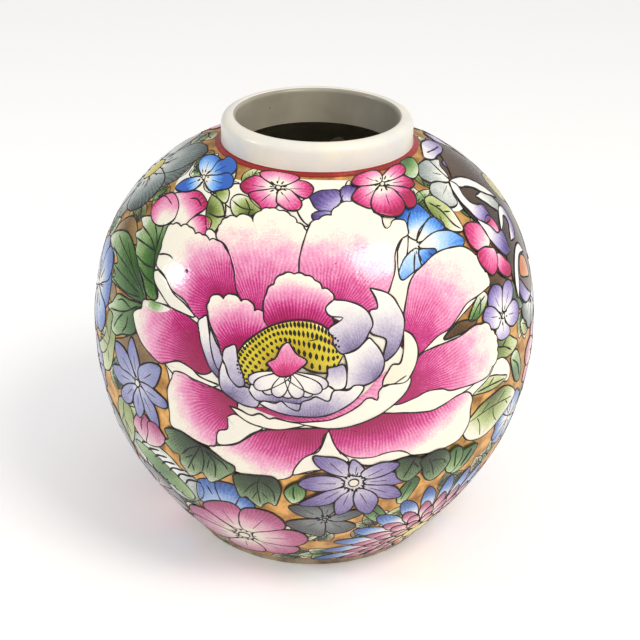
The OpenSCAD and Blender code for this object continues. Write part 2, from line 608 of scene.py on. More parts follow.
@dataclass
class Wall:
    """The jar's outside: two curves that meet at the belly, turned about Z."""

    foot_ledge: float = 2.3
    shoulder_slope: float = 19.0
    foot_slope: float = 54.0
    belly_full_up: float = 0.61
    shoulder_full: float = 0.55
    belly_full_down: float = 0.55
    heel_full: float = 0.50
    steps: int = 40
    heel: np.ndarray = field(init=False)
    shoulder: np.ndarray = field(init=False)
    arcs: np.ndarray = field(init=False)
    outline: np.ndarray = field(init=False)
    facing: np.ndarray = field(init=False)

    def __post_init__(self) -> None:
        """Takes the driving sizes from the frame and works out the outline."""
        low, high = (np.array(corner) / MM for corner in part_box("lower_body"))
        self.belly_r, self.belly_z, self.foot_z = high[0], high[2], low[2]
        self.shoulder_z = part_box("upper_body")[1][2] / MM
        self.shoulder_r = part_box("neck_collar")[1][0] / MM
        self.heel_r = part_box("foot_ring")[1][0] / MM + self.foot_ledge
        rise = self.shoulder_z - self.belly_z
        out = self.belly_r - self.shoulder_r
        tilt = math.radians(self.shoulder_slope)
        lean = math.radians(self.foot_slope)
        neck = np.array([self.shoulder_r, self.shoulder_z])
        heel = np.array([self.heel_r, self.foot_z])
        self.shoulder = np.array([
            [self.belly_r, self.belly_z], [self.belly_r, self.belly_z + self.belly_full_up * rise],
            neck + self.shoulder_full * out * np.array([math.cos(tilt), -math.sin(tilt)]), neck])
        drop = self.belly_z - self.foot_z
        spread = self.belly_r - self.heel_r
        self.heel = np.array([
            heel, heel + self.heel_full * spread * np.array([math.cos(lean), math.sin(lean)]),
            [self.belly_r, self.belly_z - self.belly_full_down * drop],
            [self.belly_r, self.belly_z]])
        lower = bezier(self.heel, self.steps)
        upper = bezier(self.shoulder, self.steps)
        self.outline = np.vstack([lower, upper[1:]])
        run = run_along(self.outline)
        self.arcs = run - run[self.steps]
        along = unit(np.gradient(self.outline, self.arcs, axis=0))
        self.facing = np.column_stack([along[:, 1], -along[:, 0]])

    def offset(self, curve: np.ndarray, distance: float) -> np.ndarray:
        """Gives one of the two curves moved inwards by a distance, from its start to its end.

        Args:
            curve: its control points.
            distance: how far, in millimetres.

        Returns:
            Points along it.
        """
        points = bezier(curve, self.steps)
        along = np.gradient(points, axis=0)
        along[0] = curve[1] - curve[0]
        along[-1] = curve[3] - curve[2]
        along = unit(along)
        return points - distance * np.column_stack([along[:, 1], -along[:, 0]])

    def place(self, azimuth: float, x: np.ndarray, y: np.ndarray, lift: np.ndarray) -> np.ndarray:
        """Lays flat drawing points on the wall.

        Args:
            azimuth: the drawing's middle, in degrees round the jar from the front.
            x: distance to the right of the middle.
            y: distance up the wall from the belly.
            lift: height over the glaze.

        Returns:
            Places in metres, with X, Y and Z last.
        """
        y = np.clip(y, self.arcs[0], self.arcs[-1])
        radius = np.interp(y, self.arcs, self.outline[:, 0])
        height = np.interp(y, self.arcs, self.outline[:, 1])
        angle = math.radians(azimuth) + x / radius
        radius = radius + lift * np.interp(y, self.arcs, self.facing[:, 0])
        height = height + lift * np.interp(y, self.arcs, self.facing[:, 1])
        return np.stack([radius * np.sin(angle), -radius * np.cos(angle), height], axis=-1) * MM


@dataclass
class ThrownJar:
    """The clay sections as they are luted together, glazed, gilded and lined in red."""

    wall: Wall
    wall_t: float = 5.0
    floor_t: float = 6.0
    floor_round: float = 12.0
    neck_wall: float = 5.1
    neck_fillet: float = 1.2
    foot_wall: float = 5.0
    foot_bevel: float = 0.8
    line_w: float = 1.0
    line_t: float = 0.25

    def __post_init__(self) -> None:
        """Works out the sizes that the sections share."""
        self.rim_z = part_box("neck_collar")[1][2] / MM
        self.neck_r = self.wall.shoulder_r - self.neck_fillet
        self.mouth_r = self.neck_r - self.neck_wall

    def finish(self, piece: bpy.types.Object, node: str, slot: str, *paints: Paint) -> None:
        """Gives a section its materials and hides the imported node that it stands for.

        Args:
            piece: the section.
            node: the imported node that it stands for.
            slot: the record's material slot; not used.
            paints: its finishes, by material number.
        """
        for paint in paints:
            piece.data.materials.append(PALETTE.get(paint))
        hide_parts(node)
        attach(piece, "root")
        LOG.info("%s: %d faces", piece.name, len(piece.data.polygons))

    def is_outside(self, face: bpy.types.MeshPolygon) -> bool:
        """Tells whether a face is on the jar's outside, and so is gilded."""
        across = math.hypot(face.center.x, face.center.y)
        return face.normal.x * face.center.x + face.normal.y * face.center.y > 0.2 * across

    def gild(self, piece: bpy.types.Object, node: str) -> None:
        """Finishes a wall: gold outside; glaze inside, painted darker as the shade within the jar."""
        self.finish(piece, node, "painted_porcelain", Paint.GOLD, Paint.INSIDE)
        for face in piece.data.polygons:
            face.material_index = 0 if self.is_outside(face) else 1

    def build(self) -> None:
        """Makes all five sections."""
        self.build_foot()
        self.build_lower_wall()
        self.build_upper_wall()
        self.build_collar()
        self.build_red_line()

    def build_foot(self) -> None:
        """Turns the unglazed ring that the jar stands on."""
        outer = self.wall.heel_r - self.wall.foot_ledge
        inner = outer - self.foot_wall
        top = self.wall.foot_z
        bevel = self.foot_bevel
        under = np.array([[inner, bevel * 3.5], [inner, bevel], [inner + bevel * 0.3, bevel * 0.3],
                          [inner + bevel, 0], [outer - bevel, 0],
                          [outer - bevel * 0.3, bevel * 0.3], [outer, bevel],
                          [outer, bevel * 3.5], [outer, top], [inner, top]])
        # The foot's dark brown-grey biscuit colour is painted shade.
        self.finish(turned("foot_ring_turned", under, True), "foot_ring", "bare_porcelain",
                    Paint.SHADED_BISCUIT)

    def build_lower_wall(self) -> None:
        """Turns the bowl: gilded outside; glazed inside and under its floor, where the glaze is painted
        darker as shade.
        """
        wall = self.wall
        floor_z = wall.foot_z + self.floor_t
        inside = wall.offset(wall.heel, self.wall_t)
        inside = inside[inside[:, 1] > floor_z + self.floor_round]
        corner = np.array([inside[0][0] - 0.4 * self.floor_round, floor_z])
        floor = bezier([corner - [self.floor_round, 0], corner, corner, inside[0]], 12)
        under = np.array([[0, wall.foot_z], [wall.heel_r * 0.5, wall.foot_z]])
        middle = np.array([[floor[0][0] * 0.5, floor_z], [0, floor_z]])
        section = np.vstack([under, bezier(wall.heel, wall.steps), inside[::-1],
                             floor[:-1][::-1], middle])
        self.gild(turned("lower_wall", section, False), "lower_body")

    def build_upper_wall(self) -> None:
        """Turns the dome: gilded outside; glazed inside, where the glaze is painted darker as shade."""
        wall = self.wall
        inside = wall.offset(wall.shoulder, self.wall_t)
        fall = math.tan(math.radians(wall.shoulder_slope))
        throat_z = inside[-1][1] + (inside[-1][0] - self.mouth_r) * fall
        mouth = np.array([[self.mouth_r, wall.shoulder_z], [self.mouth_r, throat_z]])
        section = np.vstack([bezier(wall.shoulder, wall.steps), mouth, inside[::-1]])
        self.gild(turned("upper_wall", section, True), "upper_body")

    def fillet(self) -> np.ndarray:
        """Gives the round between neck and shoulder, from the neck down."""
        centre = (self.wall.shoulder_r, self.wall.shoulder_z + self.neck_fillet)
        return arc(centre, self.neck_fillet, 180, 270)

    def build_collar(self) -> None:
        """Turns the neck with its rounded lip."""
        lip_out = min(3.2, 0.62 * self.neck_wall)
        lip_in = min(1.6, 0.31 * self.neck_wall)
        section = np.vstack([
            [[self.mouth_r, self.wall.shoulder_z]], self.fillet()[::-1],
            [[self.neck_r, self.wall.shoulder_z + 3.5]],
            arc((self.neck_r - lip_out, self.rim_z - lip_out), lip_out, 0, 90, 14),
            arc((self.mouth_r + lip_in, self.rim_z - lip_in), lip_in, 90, 180, 10)])
        piece = turned("neck_glazed", section, True)
        self.finish(piece, "neck_collar", "white_glaze", Paint.NECK, Paint.INSIDE)
        # The mouth's inner wall takes the inside glaze, painted darker as the shade in the neck.
        edge = (self.mouth_r + 0.15 * self.neck_wall) * MM
        for face in piece.data.polygons:
            inner = math.hypot(face.center.x, face.center.y) < edge
            face.material_index = 1 if inner and not self.is_outside(face) else 0

    def build_red_line(self) -> None:
        """Lays the red band over the joint of neck and shoulder."""
        wall = self.wall
        top = self.fillet()[3:]
        last = bezier(wall.shoulder, 24)[-2] - top[-1]
        foot = top[-1] + self.line_w * last / np.hypot(*last)
        tilt = math.radians(wall.shoulder_slope)
        out = self.line_t * np.array([math.sin(tilt), math.cos(tilt)])
        section = np.vstack([top, [foot, foot + out * 0.7, foot + out - last * 0.08],
                             (top + out)[::-1]])
        self.finish(turned("red_line_enamel", section, True), "red_neck_line", "red_enamel",
                    Paint.RED)


# ---------------------------------------------------------------- painting

@dataclass(frozen=True)
class Spot:
    """Where a motif is painted, and how it is turned."""

    azimuth: float
    arc: float
    coat: int = 4
    turn: float = 0.0
    mirrored: bool = False


@dataclass(frozen=True)
class Fade:
    """How a dab's colour thins: deepest up to one distance from the root, bare from another."""

    root: Point
    near: float
    far: float


class Brush:
    """Paints one motif: lays coats of enamel over each other and joins them into a piece."""

    coat_t = 0.045       # thickness of a coat of enamel
    line_over = 0.02     # height of a line over the coat that it is drawn on
    line_bite = 0.09     # how far a line's edges reach down into the enamel
    shoulder = 0.7       # width of the soft edge of a dab
    rounding = 0.2       # distance inside the outline at which a dab is still full
    edge_drop = 0.012    # fall of a dab's surface over its soft edge
    sunk = -0.03         # height of an outline, just under the glaze
    deep = -0.3          # height of a dab's hidden underside
    press = 0.62         # half width of a line, as a share of the width asked for
    taper = 2.2          # length over which a line comes to its point
    blunt = 0.4          # the same for a line with full ends

    def __init__(self, wall: Wall) -> None:
        """Starts with a clean brush.

        Args:
            wall: the jar's outside.
        """
        self.wall = wall
        self.spot = Spot(0, 0)
        self.dabs: list[bpy.types.Object] = []

    def moved(self, points: Points | np.ndarray) -> np.ndarray:
        """Turns, mirrors and moves drawing points to the motif's spot.

        Args:
            points: drawing points.

        Returns:
            Their places on the unrolled wall.
        """
        p = np.asarray(points, float).reshape(-1, 2)
        angle = math.radians(self.spot.turn)
        x = -p[:, 0] if self.spot.mirrored else p[:, 0]
        y = p[:, 1]
        return np.column_stack([x * math.cos(angle) - y * math.sin(angle),
                                x * math.sin(angle) + y * math.cos(angle) + self.spot.arc])

    def lay(self, drawing: np.ndarray, lift: np.ndarray, shade: np.ndarray, paint: Paint) -> None:
        """Puts one closed dab on the wall.

        Args:
            drawing: (x, y) points by ring and segment.
            lift: their heights over the glaze.
            shade: their (hair, fade) pairs.
            paint: the enamel.
        """
        where = self.wall.place(self.spot.azimuth, drawing[..., 0], drawing[..., 1], lift)
        rings, segments = drawing.shape[:2]
        ball = BALLS.get(segments, rings - 1)
        self.dabs.append(ball.copy(where, shade, PALETTE.get(paint)))

    def shades(self, drawing: np.ndarray, fade: Fade, middle: np.ndarray) -> np.ndarray:
        """Gives the (hair, fade) pairs of drawing points.

        Args:
            drawing: points by ring and segment.
            fade: how the colour thins.
            middle: the point that sees them all.

        Returns:
            Millimetres across the strokes, and the fade from 0, full colour, to 1, bare.
        """
        root = self.moved([fade.root])[0]
        away = drawing - root
        reach = np.hypot(away[..., 0], away[..., 1])
        ahead = math.atan2(*(middle - root)[::-1])
        turn = np.arctan2(away[..., 1], away[..., 0]) - ahead
        turn = (turn + math.pi) % (2 * math.pi) - math.pi
        hair = turn * 0.5 * (abs(fade.near) + abs(fade.far))
        return np.stack([hair, (reach - fade.near) / (fade.far - fade.near)], axis=-1)

    def dab(self, outline: np.ndarray, paint: Paint, coat: float, fade: Fade,
            heart: Point | None = None, line: float = 0.5, step: float = 2.2) -> None:
        """Fills an outline with enamel, and draws round it.

        Args:
            outline: closed drawing points.
            paint: the enamel.
            coat: how many coats lie under it, over the motif's own.
            fade: how its colour thins.
            heart: a point that sees the whole outline. None takes the middle.
            line: width of the line round it, or 0 for none.
            step: distance between the rings of the mesh.
        """
        edge = self.moved(outline)
        if area(edge) < 0:
            edge = edge[::-1]
        middle = self.moved([heart])[0] if heart is not None else edge.mean(axis=0)
        ray = edge - middle
        reach = np.hypot(*ray.T)[:, None]
        rows = max(2, math.ceil(reach.max() / step))
        inset = np.maximum(1 - self.shoulder / reach, 0.5)
        rounded = np.maximum(1 - self.rounding / reach, 0.8)
        shares = [inset * i / rows for i in range(rows + 1)] + [rounded, np.ones_like(reach)]
        drawing = np.stack([middle + ray * share for share in shares] + [middle + ray * 0])
        top = (self.spot.coat + coat) * self.coat_t
        lift = np.full(drawing.shape[:2], top)
        lift[-3] = top - self.edge_drop
        lift[-2] = self.sunk
        lift[-1] = self.deep
        shade = self.shades(drawing, fade, middle)
        self.lay(drawing, lift, shade, paint)
        if line:
            self.stroke(np.vstack([outline, outline[:2]]), line, coat, ends=False)

    def band(self, outer: np.ndarray, inner: np.ndarray, paint: Paint, coat: float,
             fade: Fade, line: float = 0.5) -> None:
        """Fills the strip between two curves that share their ends.

        Args:
            outer: drawing points of one curve.
            inner: as many points of the other.
            paint: the enamel.
            coat: how many coats lie under it, over the motif's own.
            fade: how its colour thins.
            line: width of the lines along it, or 0 for none.
        """
        right, left = self.moved(outer), self.moved(inner)
        if area(np.vstack([right, left[::-1]])) < 0:
            right, left = left, right
        across = np.array([0, 0.04, 0.25, 0.5, 0.75, 0.96, 1.0, 0.5])
        drawing = right[:, None] * (1 - across)[None, :, None] + left[:, None] * across[None, :, None]
        top = (self.spot.coat + coat) * self.coat_t
        lift = np.tile([self.sunk, top, top, top, top, top, self.sunk, self.deep], (len(right), 1))
        lift[[0, -1]] = 0
        shade = self.shades(drawing, fade, drawing.reshape(-1, 2).mean(axis=0))
        self.lay(drawing, lift, shade, paint)
        if line:
            self.stroke(outer, line, coat)
            self.stroke(inner, line, coat)

    def stroke(self, points: np.ndarray, width: float, coat: float, paint: Paint = Paint.LINE,
               ends: bool = True) -> None:
        """Draws a line with the point of the brush.

        Args:
            points: drawing points along it.
            width: its full width.
            coat: the coat that it is drawn on, over the motif's own.
            paint: its colour.
            ends: whether it tapers to a point at both ends.
        """
        path = self.moved(points)
        inside = (path[:, 1] > self.wall.arcs[0]) & (path[:, 1] < self.wall.arcs[-1])
        if inside.sum() < 4:
            return
        path = path[inside]
        along = unit(np.gradient(path, axis=0))
        run = run_along(path)
        wave = 0.86 + 0.14 * np.sin(run * 0.9 + path[0, 0] + 1.7 * path[0, 1])
        taper = self.taper if ends else self.blunt
        tip = np.minimum(1, np.minimum(run, run[-1] - run) / taper + 0.15) ** 0.7
        half = self.press * width * wave * tip
        side = np.column_stack([along[:, 1], -along[:, 0]]) * half[:, None]
        drawing = np.stack([path + side, path + 0.6 * side, path - 0.6 * side, path - side], axis=1)
        drawing[0] = path[0]
        drawing[-1] = path[-1]
        top = (self.spot.coat + coat) * self.coat_t + self.line_over
        low = top - self.line_bite
        lift = np.tile([low, top, top, low], (len(path), 1))
        lift[[0, -1]] = low
        self.lay(drawing, lift, np.zeros((len(path), 4, 2)), paint)

    def finish(self, name: str, slot: str) -> bpy.types.Object:
        """Joins what was painted into one piece.

        Args:
            name: the piece's name.
            slot: the record's material slot; not used.

        Returns:
            The piece.
        """
        piece = joined(self.dabs, name)
        self.dabs = []
        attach(piece, "root")
        LOG.info("%s: %d faces", name, len(piece.data.polygons))
        return piece


def scalloped(points: Points, first: int, last: int, bulge: float = 0.2) -> np.ndarray:
    """Gives part of an outline a scalloped edge, with one lobe between each two points.

    Args:
        points: the closed outline.
        first: number of the point where the lobes start.
        last: number of the point where they end.
        bulge: how far a lobe stands out, as a share of its width.

    Returns:
        The outline, its points between lobes given twice.
    """
    p = np.asarray(points, float)
    side = -1 if area(p) > 0 else 1
    made = []
    for i, here in enumerate(p):
        ahead = p[(i + 1) % len(p)]
        if not first <= i < last:
            made += [here] * (2 if i == last else 1)
            continue
        step = ahead - here
        out = side * np.array([-step[1], step[0]])
        made += [here, here, here + 0.25 * step + 0.8 * bulge * out, here + 0.5 * step + bulge * out,
                 here + 0.75 * step + 0.8 * bulge * out]
    return np.array(made)


def outline_of(points: Points | np.ndarray, step: float = 1.0) -> np.ndarray:
    """Gives an outline through the points, cut into a multiple of 8 steps.

    Args:
        points: drawing points.
        step: length of a step, about.

    Returns:
        Its points.
    """
    curve = smooth(points, FINE_STEP, ring=True)
    ring = np.vstack([curve, curve[:1]])
    return evenly(ring, 8 * max(2, math.ceil(run_along(ring)[-1] / step / 8)))[:-1]


def curve_of(points: Points | np.ndarray, count: int) -> np.ndarray:
    """Gives an open curve through the points, as count even steps."""
    return evenly(smooth(points, FINE_STEP), count)


@dataclass(frozen=True)
class Petal:
    """One petal: its outline, a point that sees all of it, and where its colour fades from."""

    outline: Points
    heart: Point
    root: Point
    near: float
    far: float
    coat: float
    paint: Paint = Paint.ROSE
    lobes: tuple[int, int] = (0, 0)


ROSE_PETALS = (
    Petal(xy(-39, 31, -44, 35, -50, 37, -54, 40.5, -58, 42, -58, 45, -57, 48, -57, 50, -56, 54, -53, 56.5,
        -49, 57, -45, 58, -42, 56.5, -39, 57, -36, 56, -33, 56.5, -30, 55, -27.5, 52, -27, 49.5, -25, 46.5,
        -24.5, 43, -25, 38, -30, 30), (-38, 45), (-28, 36), 5, 25, 2, lobes=(8, 16)),
    Petal(xy(-24, 40, -26.5, 49, -29.5, 55.5, -33, 57, -33, 60, -32, 62.5, -30, 65, -26.5, 66, -22.5, 67.5,
        -20.5, 65.5, -18, 70, -15, 71.5, -12, 71, -8, 69.5, -6, 67, -3.5, 65, -3, 62, -4, 57, -5, 50,
        -5, 42, -14, 34), (-16, 54), (-16, 30), 3, 36, 3, lobes=(3, 16)),
    Petal(xy(-4, 42, -5, 52, -4.5, 57, -3, 63, -2, 66, 1, 68.5, 5, 70, 7, 73.5, 11, 75.2, 15, 73, 19, 70,
        21.5, 68, 22, 65.5, 23, 63.5, 24.5, 64, 26, 66, 30, 65, 31, 62, 31, 60, 28.5, 59, 27, 57, 26, 54,
        26, 50, 25, 46, 22, 40, 14, 34, 4, 36), (11, 55), (4, 32), 3, 34, 4, lobes=(4, 10)),
    Petal(xy(27, 28, 29, 35, 30, 40, 31, 44, 33, 47, 37, 49.5, 41, 51.5, 46, 52, 53, 51, 57, 49, 60, 46.5,
        62, 43.5, 64, 40, 66, 38, 66, 35, 60, 34, 54, 33, 50, 30, 46, 27, 41, 25.5, 33, 21), (43, 38),
        (28, 22), -1, 36, 2, lobes=(10, 14)),
    Petal(xy(26, 6, 28, 14, 33, 19, 36, 21.5, 41, 22.5, 46, 23, 51, 23.5, 57, 25, 61, 24.5, 66, 21, 68, 19,
        69.5, 16, 69.5, 13, 70, 10.5, 67, 8, 65, 5.5, 60, 5, 52, 5.5, 47, 6, 44, 7.5, 38, 8, 33, 6.5),
        (48, 14), (26, 10), 4, 42, 3, lobes=(8, 14)),
    Petal(xy(5, -1, 6, -4, 7.5, -8, 10, -11, 14, -13, 20, -13.5, 24, -12.5, 29, -12.5, 32, -14, 34, -15.5,
        40, -16.5, 46, -16.5, 52, -15.5, 55, -13, 57, -9, 57, -4, 57.5, 0, 55, 3, 50, 3, 45, 1.5, 40, 0.5,
        33, 1.5, 27, 2.5, 20, 3, 12, 0), (32, -6), (15, 40), 42, 58, 3),
    Petal(xy(-8, -1.5, -14, -2.5, -18, -4, -22, -7.5, -26, -10.5, -31, -12, -35, -13.5, -31, -17, -27, -21,
        -20, -23, -12, -23, -7, -21, -5.5, -17, -3, -13, 1, -10, 3, -7, 3.5, -4, 5, -1), (-13, -12),
        (0, 25), 30, 50, 3),
    Petal(xy(-49, 8.5, -48, 11, -44, 11.5, -40, 10.5, -36, 10, -31, 9, -25, 7, -25, 2, -27, -2, -28, -5,
        -31, -6, -32, -10, -33, -13, -38, -13, -45, -11, -50, -10, -50.5, -5, -51, 0, -51, 4), (-40, -1),
        (-24, 8), 8, 27, 3),
    Petal(xy(-36, 28, -40, 29.5, -44, 31, -50, 31.5, -57, 31, -63, 30, -64, 27, -66, 26, -68.5, 24, -68, 22,
        -66, 18.5, -63, 15.5, -59, 13.5, -55, 12, -52, 12.5, -47, 15, -43, 14.5, -37, 13, -33, 16, -33, 24),
        (-50, 22), (-30, 19), 12, 37, 2),
)

CREAM_PETALS = (
    Petal(xy(-57, 47, -53, 55, -43, 56, -34, 56, -31, 63, -20, 66, -12, 69, -4, 66, 2, 67, 9, 73, 14, 73,
        22, 63, 29, 63, 27, 56, 28, 46, 34, 48, 44, 51, 56, 48, 64, 38, 58, 33, 50, 29, 44, 24, 57, 24,
        66, 20, 69, 12, 66, 5, 57, 0, 56, -10, 50, -15, 36, -15, 24, -12, 12, -14, 5, -17, -5, -20,
        -20, -22, -30, -17, -34, -12, -45, -10, -50, -5, -50, 6, -53, 13, -63, 17, -67, 23, -62, 29,
        -56, 33, -59, 40), (0, 20), (0, 20), -60, 60, 0),
    Petal(xy(20, 3, 26, 2.5, 33, 1, 41, 0.5, 47, 2, 53, 3.5, 57, 4.5, 64, 7.5, 66, 9, 60, 8, 52, 7.5,
        44, 8.5, 36, 8, 28, 6), (40, 5), (40, -30), -60, 60, 2),
    Petal(xy(8, -8, 10, -13, 13, -15, 20, -17, 28, -16, 34, -15, 32, -12, 28, -11, 20, -12, 14, -11),
        (20, -14), (20, -60), -60, 60, 2),
    Petal(xy(5, -1, 8, -9, 12, -14, 8, -17, 0, -18, -6, -20, -5, -16, -2, -12, 2, -10, 4, -5), (4, -12),
        (4, -60), -60, 60, 2.5),
    Petal(xy(-28, 0, -25, 1.5, -20, -1, -16, -2, -20, -5, -25, -9.5, -31, -11.5, -32, -9, -31, -6,
        -28, -4.5), (-25, -4), (-25, 40), -60, 60, 4),
    Petal(xy(-27, 4, -24, 3.5, -20, 2, -17, 3, -14, 1.5, -12, 2, -7, 1, -2, 0.5, -6, -1, -12, -2.2,
        -18, -1.5, -23, 0.5), (-15, 0.2), (-15, 40), -60, 60, 4.5),
    Petal(xy(-52, 12.5, -46, 15, -41, 14, -38, 12, -33, 11, -31, 10.5, -36, 9, -42, 10.5, -48, 10),
        (-43, 12.3), (-43, 50), -60, 60, 2.5),
    Petal(xy(-57, 41, -53, 39.5, -49, 36, -44, 34, -40, 31, -45, 31, -50, 31.5, -54, 34, -58, 37, -59, 40),
        (-52, 36), (-52, 80), -60, 60, 2.5),
)

CUP_PETALS = (
    Petal(xy(29, 30, 32, 28, 34, 24, 34, 20, 32.5, 16, 30, 13, 25, 13, 22.5, 12.5, 22.5, 15, 24, 17.5,
        25.5, 19.5, 28, 19.5, 29, 23, 29, 27), (28.5, 17), (20, 15), -20, 30, 6, Paint.WHITE),
    Petal(xy(-38, 27, -38.5, 30, -37, 31.5, -35.5, 32.5, -35, 31, -34.5, 28, -33, 22, -31, 16, -30.5, 13,
        -34, 16, -36, 20, -37.5, 24), (-35.5, 23), (-32, 12), 3, 15, 6, Paint.VIOLET),
    Petal(xy(-34, 29, -32, 25, -30, 22, -29.5, 19, -31, 16, -33, 20, -34, 25), (-32, 22), (-31, 14), -4, 20,
        7, Paint.VIOLET),
    Petal(xy(-29, 20, -31, 25, -34, 30, -35, 34, -34.5, 37, -32.5, 39.5, -29.5, 38.7, -26.5, 40.7,
        -23.5, 39, -20.5, 39.5, -19, 36.5, -17, 37.2, -15, 34.5, -12, 32, -16, 25, -22, 18), (-26, 31),
        (-21, 20), 7, 21, 8, Paint.ROSE, lobes=(3, 12)),
    Petal(xy(-15, 33, -16, 37, -16, 40, -15, 43, -12.7, 45.6, -10, 49, -6.5, 49.3, -3, 49, 0, 47.5, 2.3, 45,
        5, 44, 6, 41.5, 5, 38, 6, 33, 0, 29, -8, 29), (-6, 40), (-6, 21), 15, 27, 9, Paint.ROSE,
        lobes=(3, 11)),
    Petal(xy(17.5, 44.5, 17.5, 44.5, 22, 43, 25, 41, 27, 38, 29, 34, 29, 30, 28, 26, 26, 23, 22.5, 21,
        22.5, 24, 23, 28, 18, 30.5, 18, 34, 17.5, 37.5, 20, 38, 19.5, 41), (24, 33), (24, 18), 3, 22, 8,
        Paint.VIOLET),
    Petal(xy(6, 41.5, 10, 41, 14, 39.5, 17, 37, 18.5, 33.5, 17.5, 31, 15, 27, 10, 24.5, 8, 25, 6, 28, 6, 30,
        4.5, 31.5, 5, 33, 9, 35.8, 5, 36.5, 3.5, 39), (12, 33), (15, 22), 3, 18, 11, Paint.VIOLET),
    Petal(xy(9.5, 24.5, 12, 25, 14, 26, 16, 28, 17.5, 29, 19, 27.5, 21, 25, 22.5, 21.5, 22, 18, 20, 15.5,
        17, 14, 13, 13.5, 10, 13, 10.5, 17, 10.5, 21), (16, 20), (22, 14), 2, 14, 12, Paint.VIOLET),
    Petal(xy(-29.5, 19, -30.5, 15, -30, 10, -26, 7, -22, 5.5, -18, 5.5, -17, 8, -18, 10, -20, 11.5, -22, 12,
        -24, 11.5, -26, 13, -27.5, 15, -28.5, 18), (-25.5, 10), (-27, 4), 3, 15, 12, Paint.VIOLET),
    Petal(xy(-29.5, 20, -29, 23, -27, 24.5, -25, 25, -24, 20, -22.5, 16, -22, 12.5, -24.5, 11.5, -27, 14,
        -28.5, 18), (-26, 18), (-22, 8), -2, 22, 11, Paint.VIOLET),
    Petal(xy(-20.5, 11, -19.5, 13.5, -16.5, 15, -13.5, 13.5, -12.5, 11, -10, 12, -7.5, 10, -5, 11.5, -3, 13,
        0, 13.5, 2, 15.5, 4, 14.5, 6.5, 13, 5, 9, -4, 8, -14, 8, -18, 8), (-8, 9.5), (-8, -6), 14, 22, 13,
        Paint.VIOLET),
    Petal(xy(-17, 7, -15.5, 8, -12, 7.5, -10, 8.5, -7.5, 6.5, -4.5, 5.5, -3.5, 8.5, -1, 9.5, 1, 10.5, 5, 9,
        6.5, 12.5, 11, 12.5, 13, 14, 16, 13.5, 15, 11, 12, 8, 7, 5, 2, 3.5, -4, 3.5, -9, 4, -14, 5.5),
        (4, 6.5), (0, -8), 10, 24, 14, Paint.VIOLET),
    Petal(xy(3.5, 15, 4.5, 18, 4.5, 20, 7, 20.5, 9.5, 21, 10.5, 18, 10, 13.5, 7, 12.8, 5, 14), (7, 16.5),
        (7, 22), -2, 9, 13, Paint.VIOLET),
)


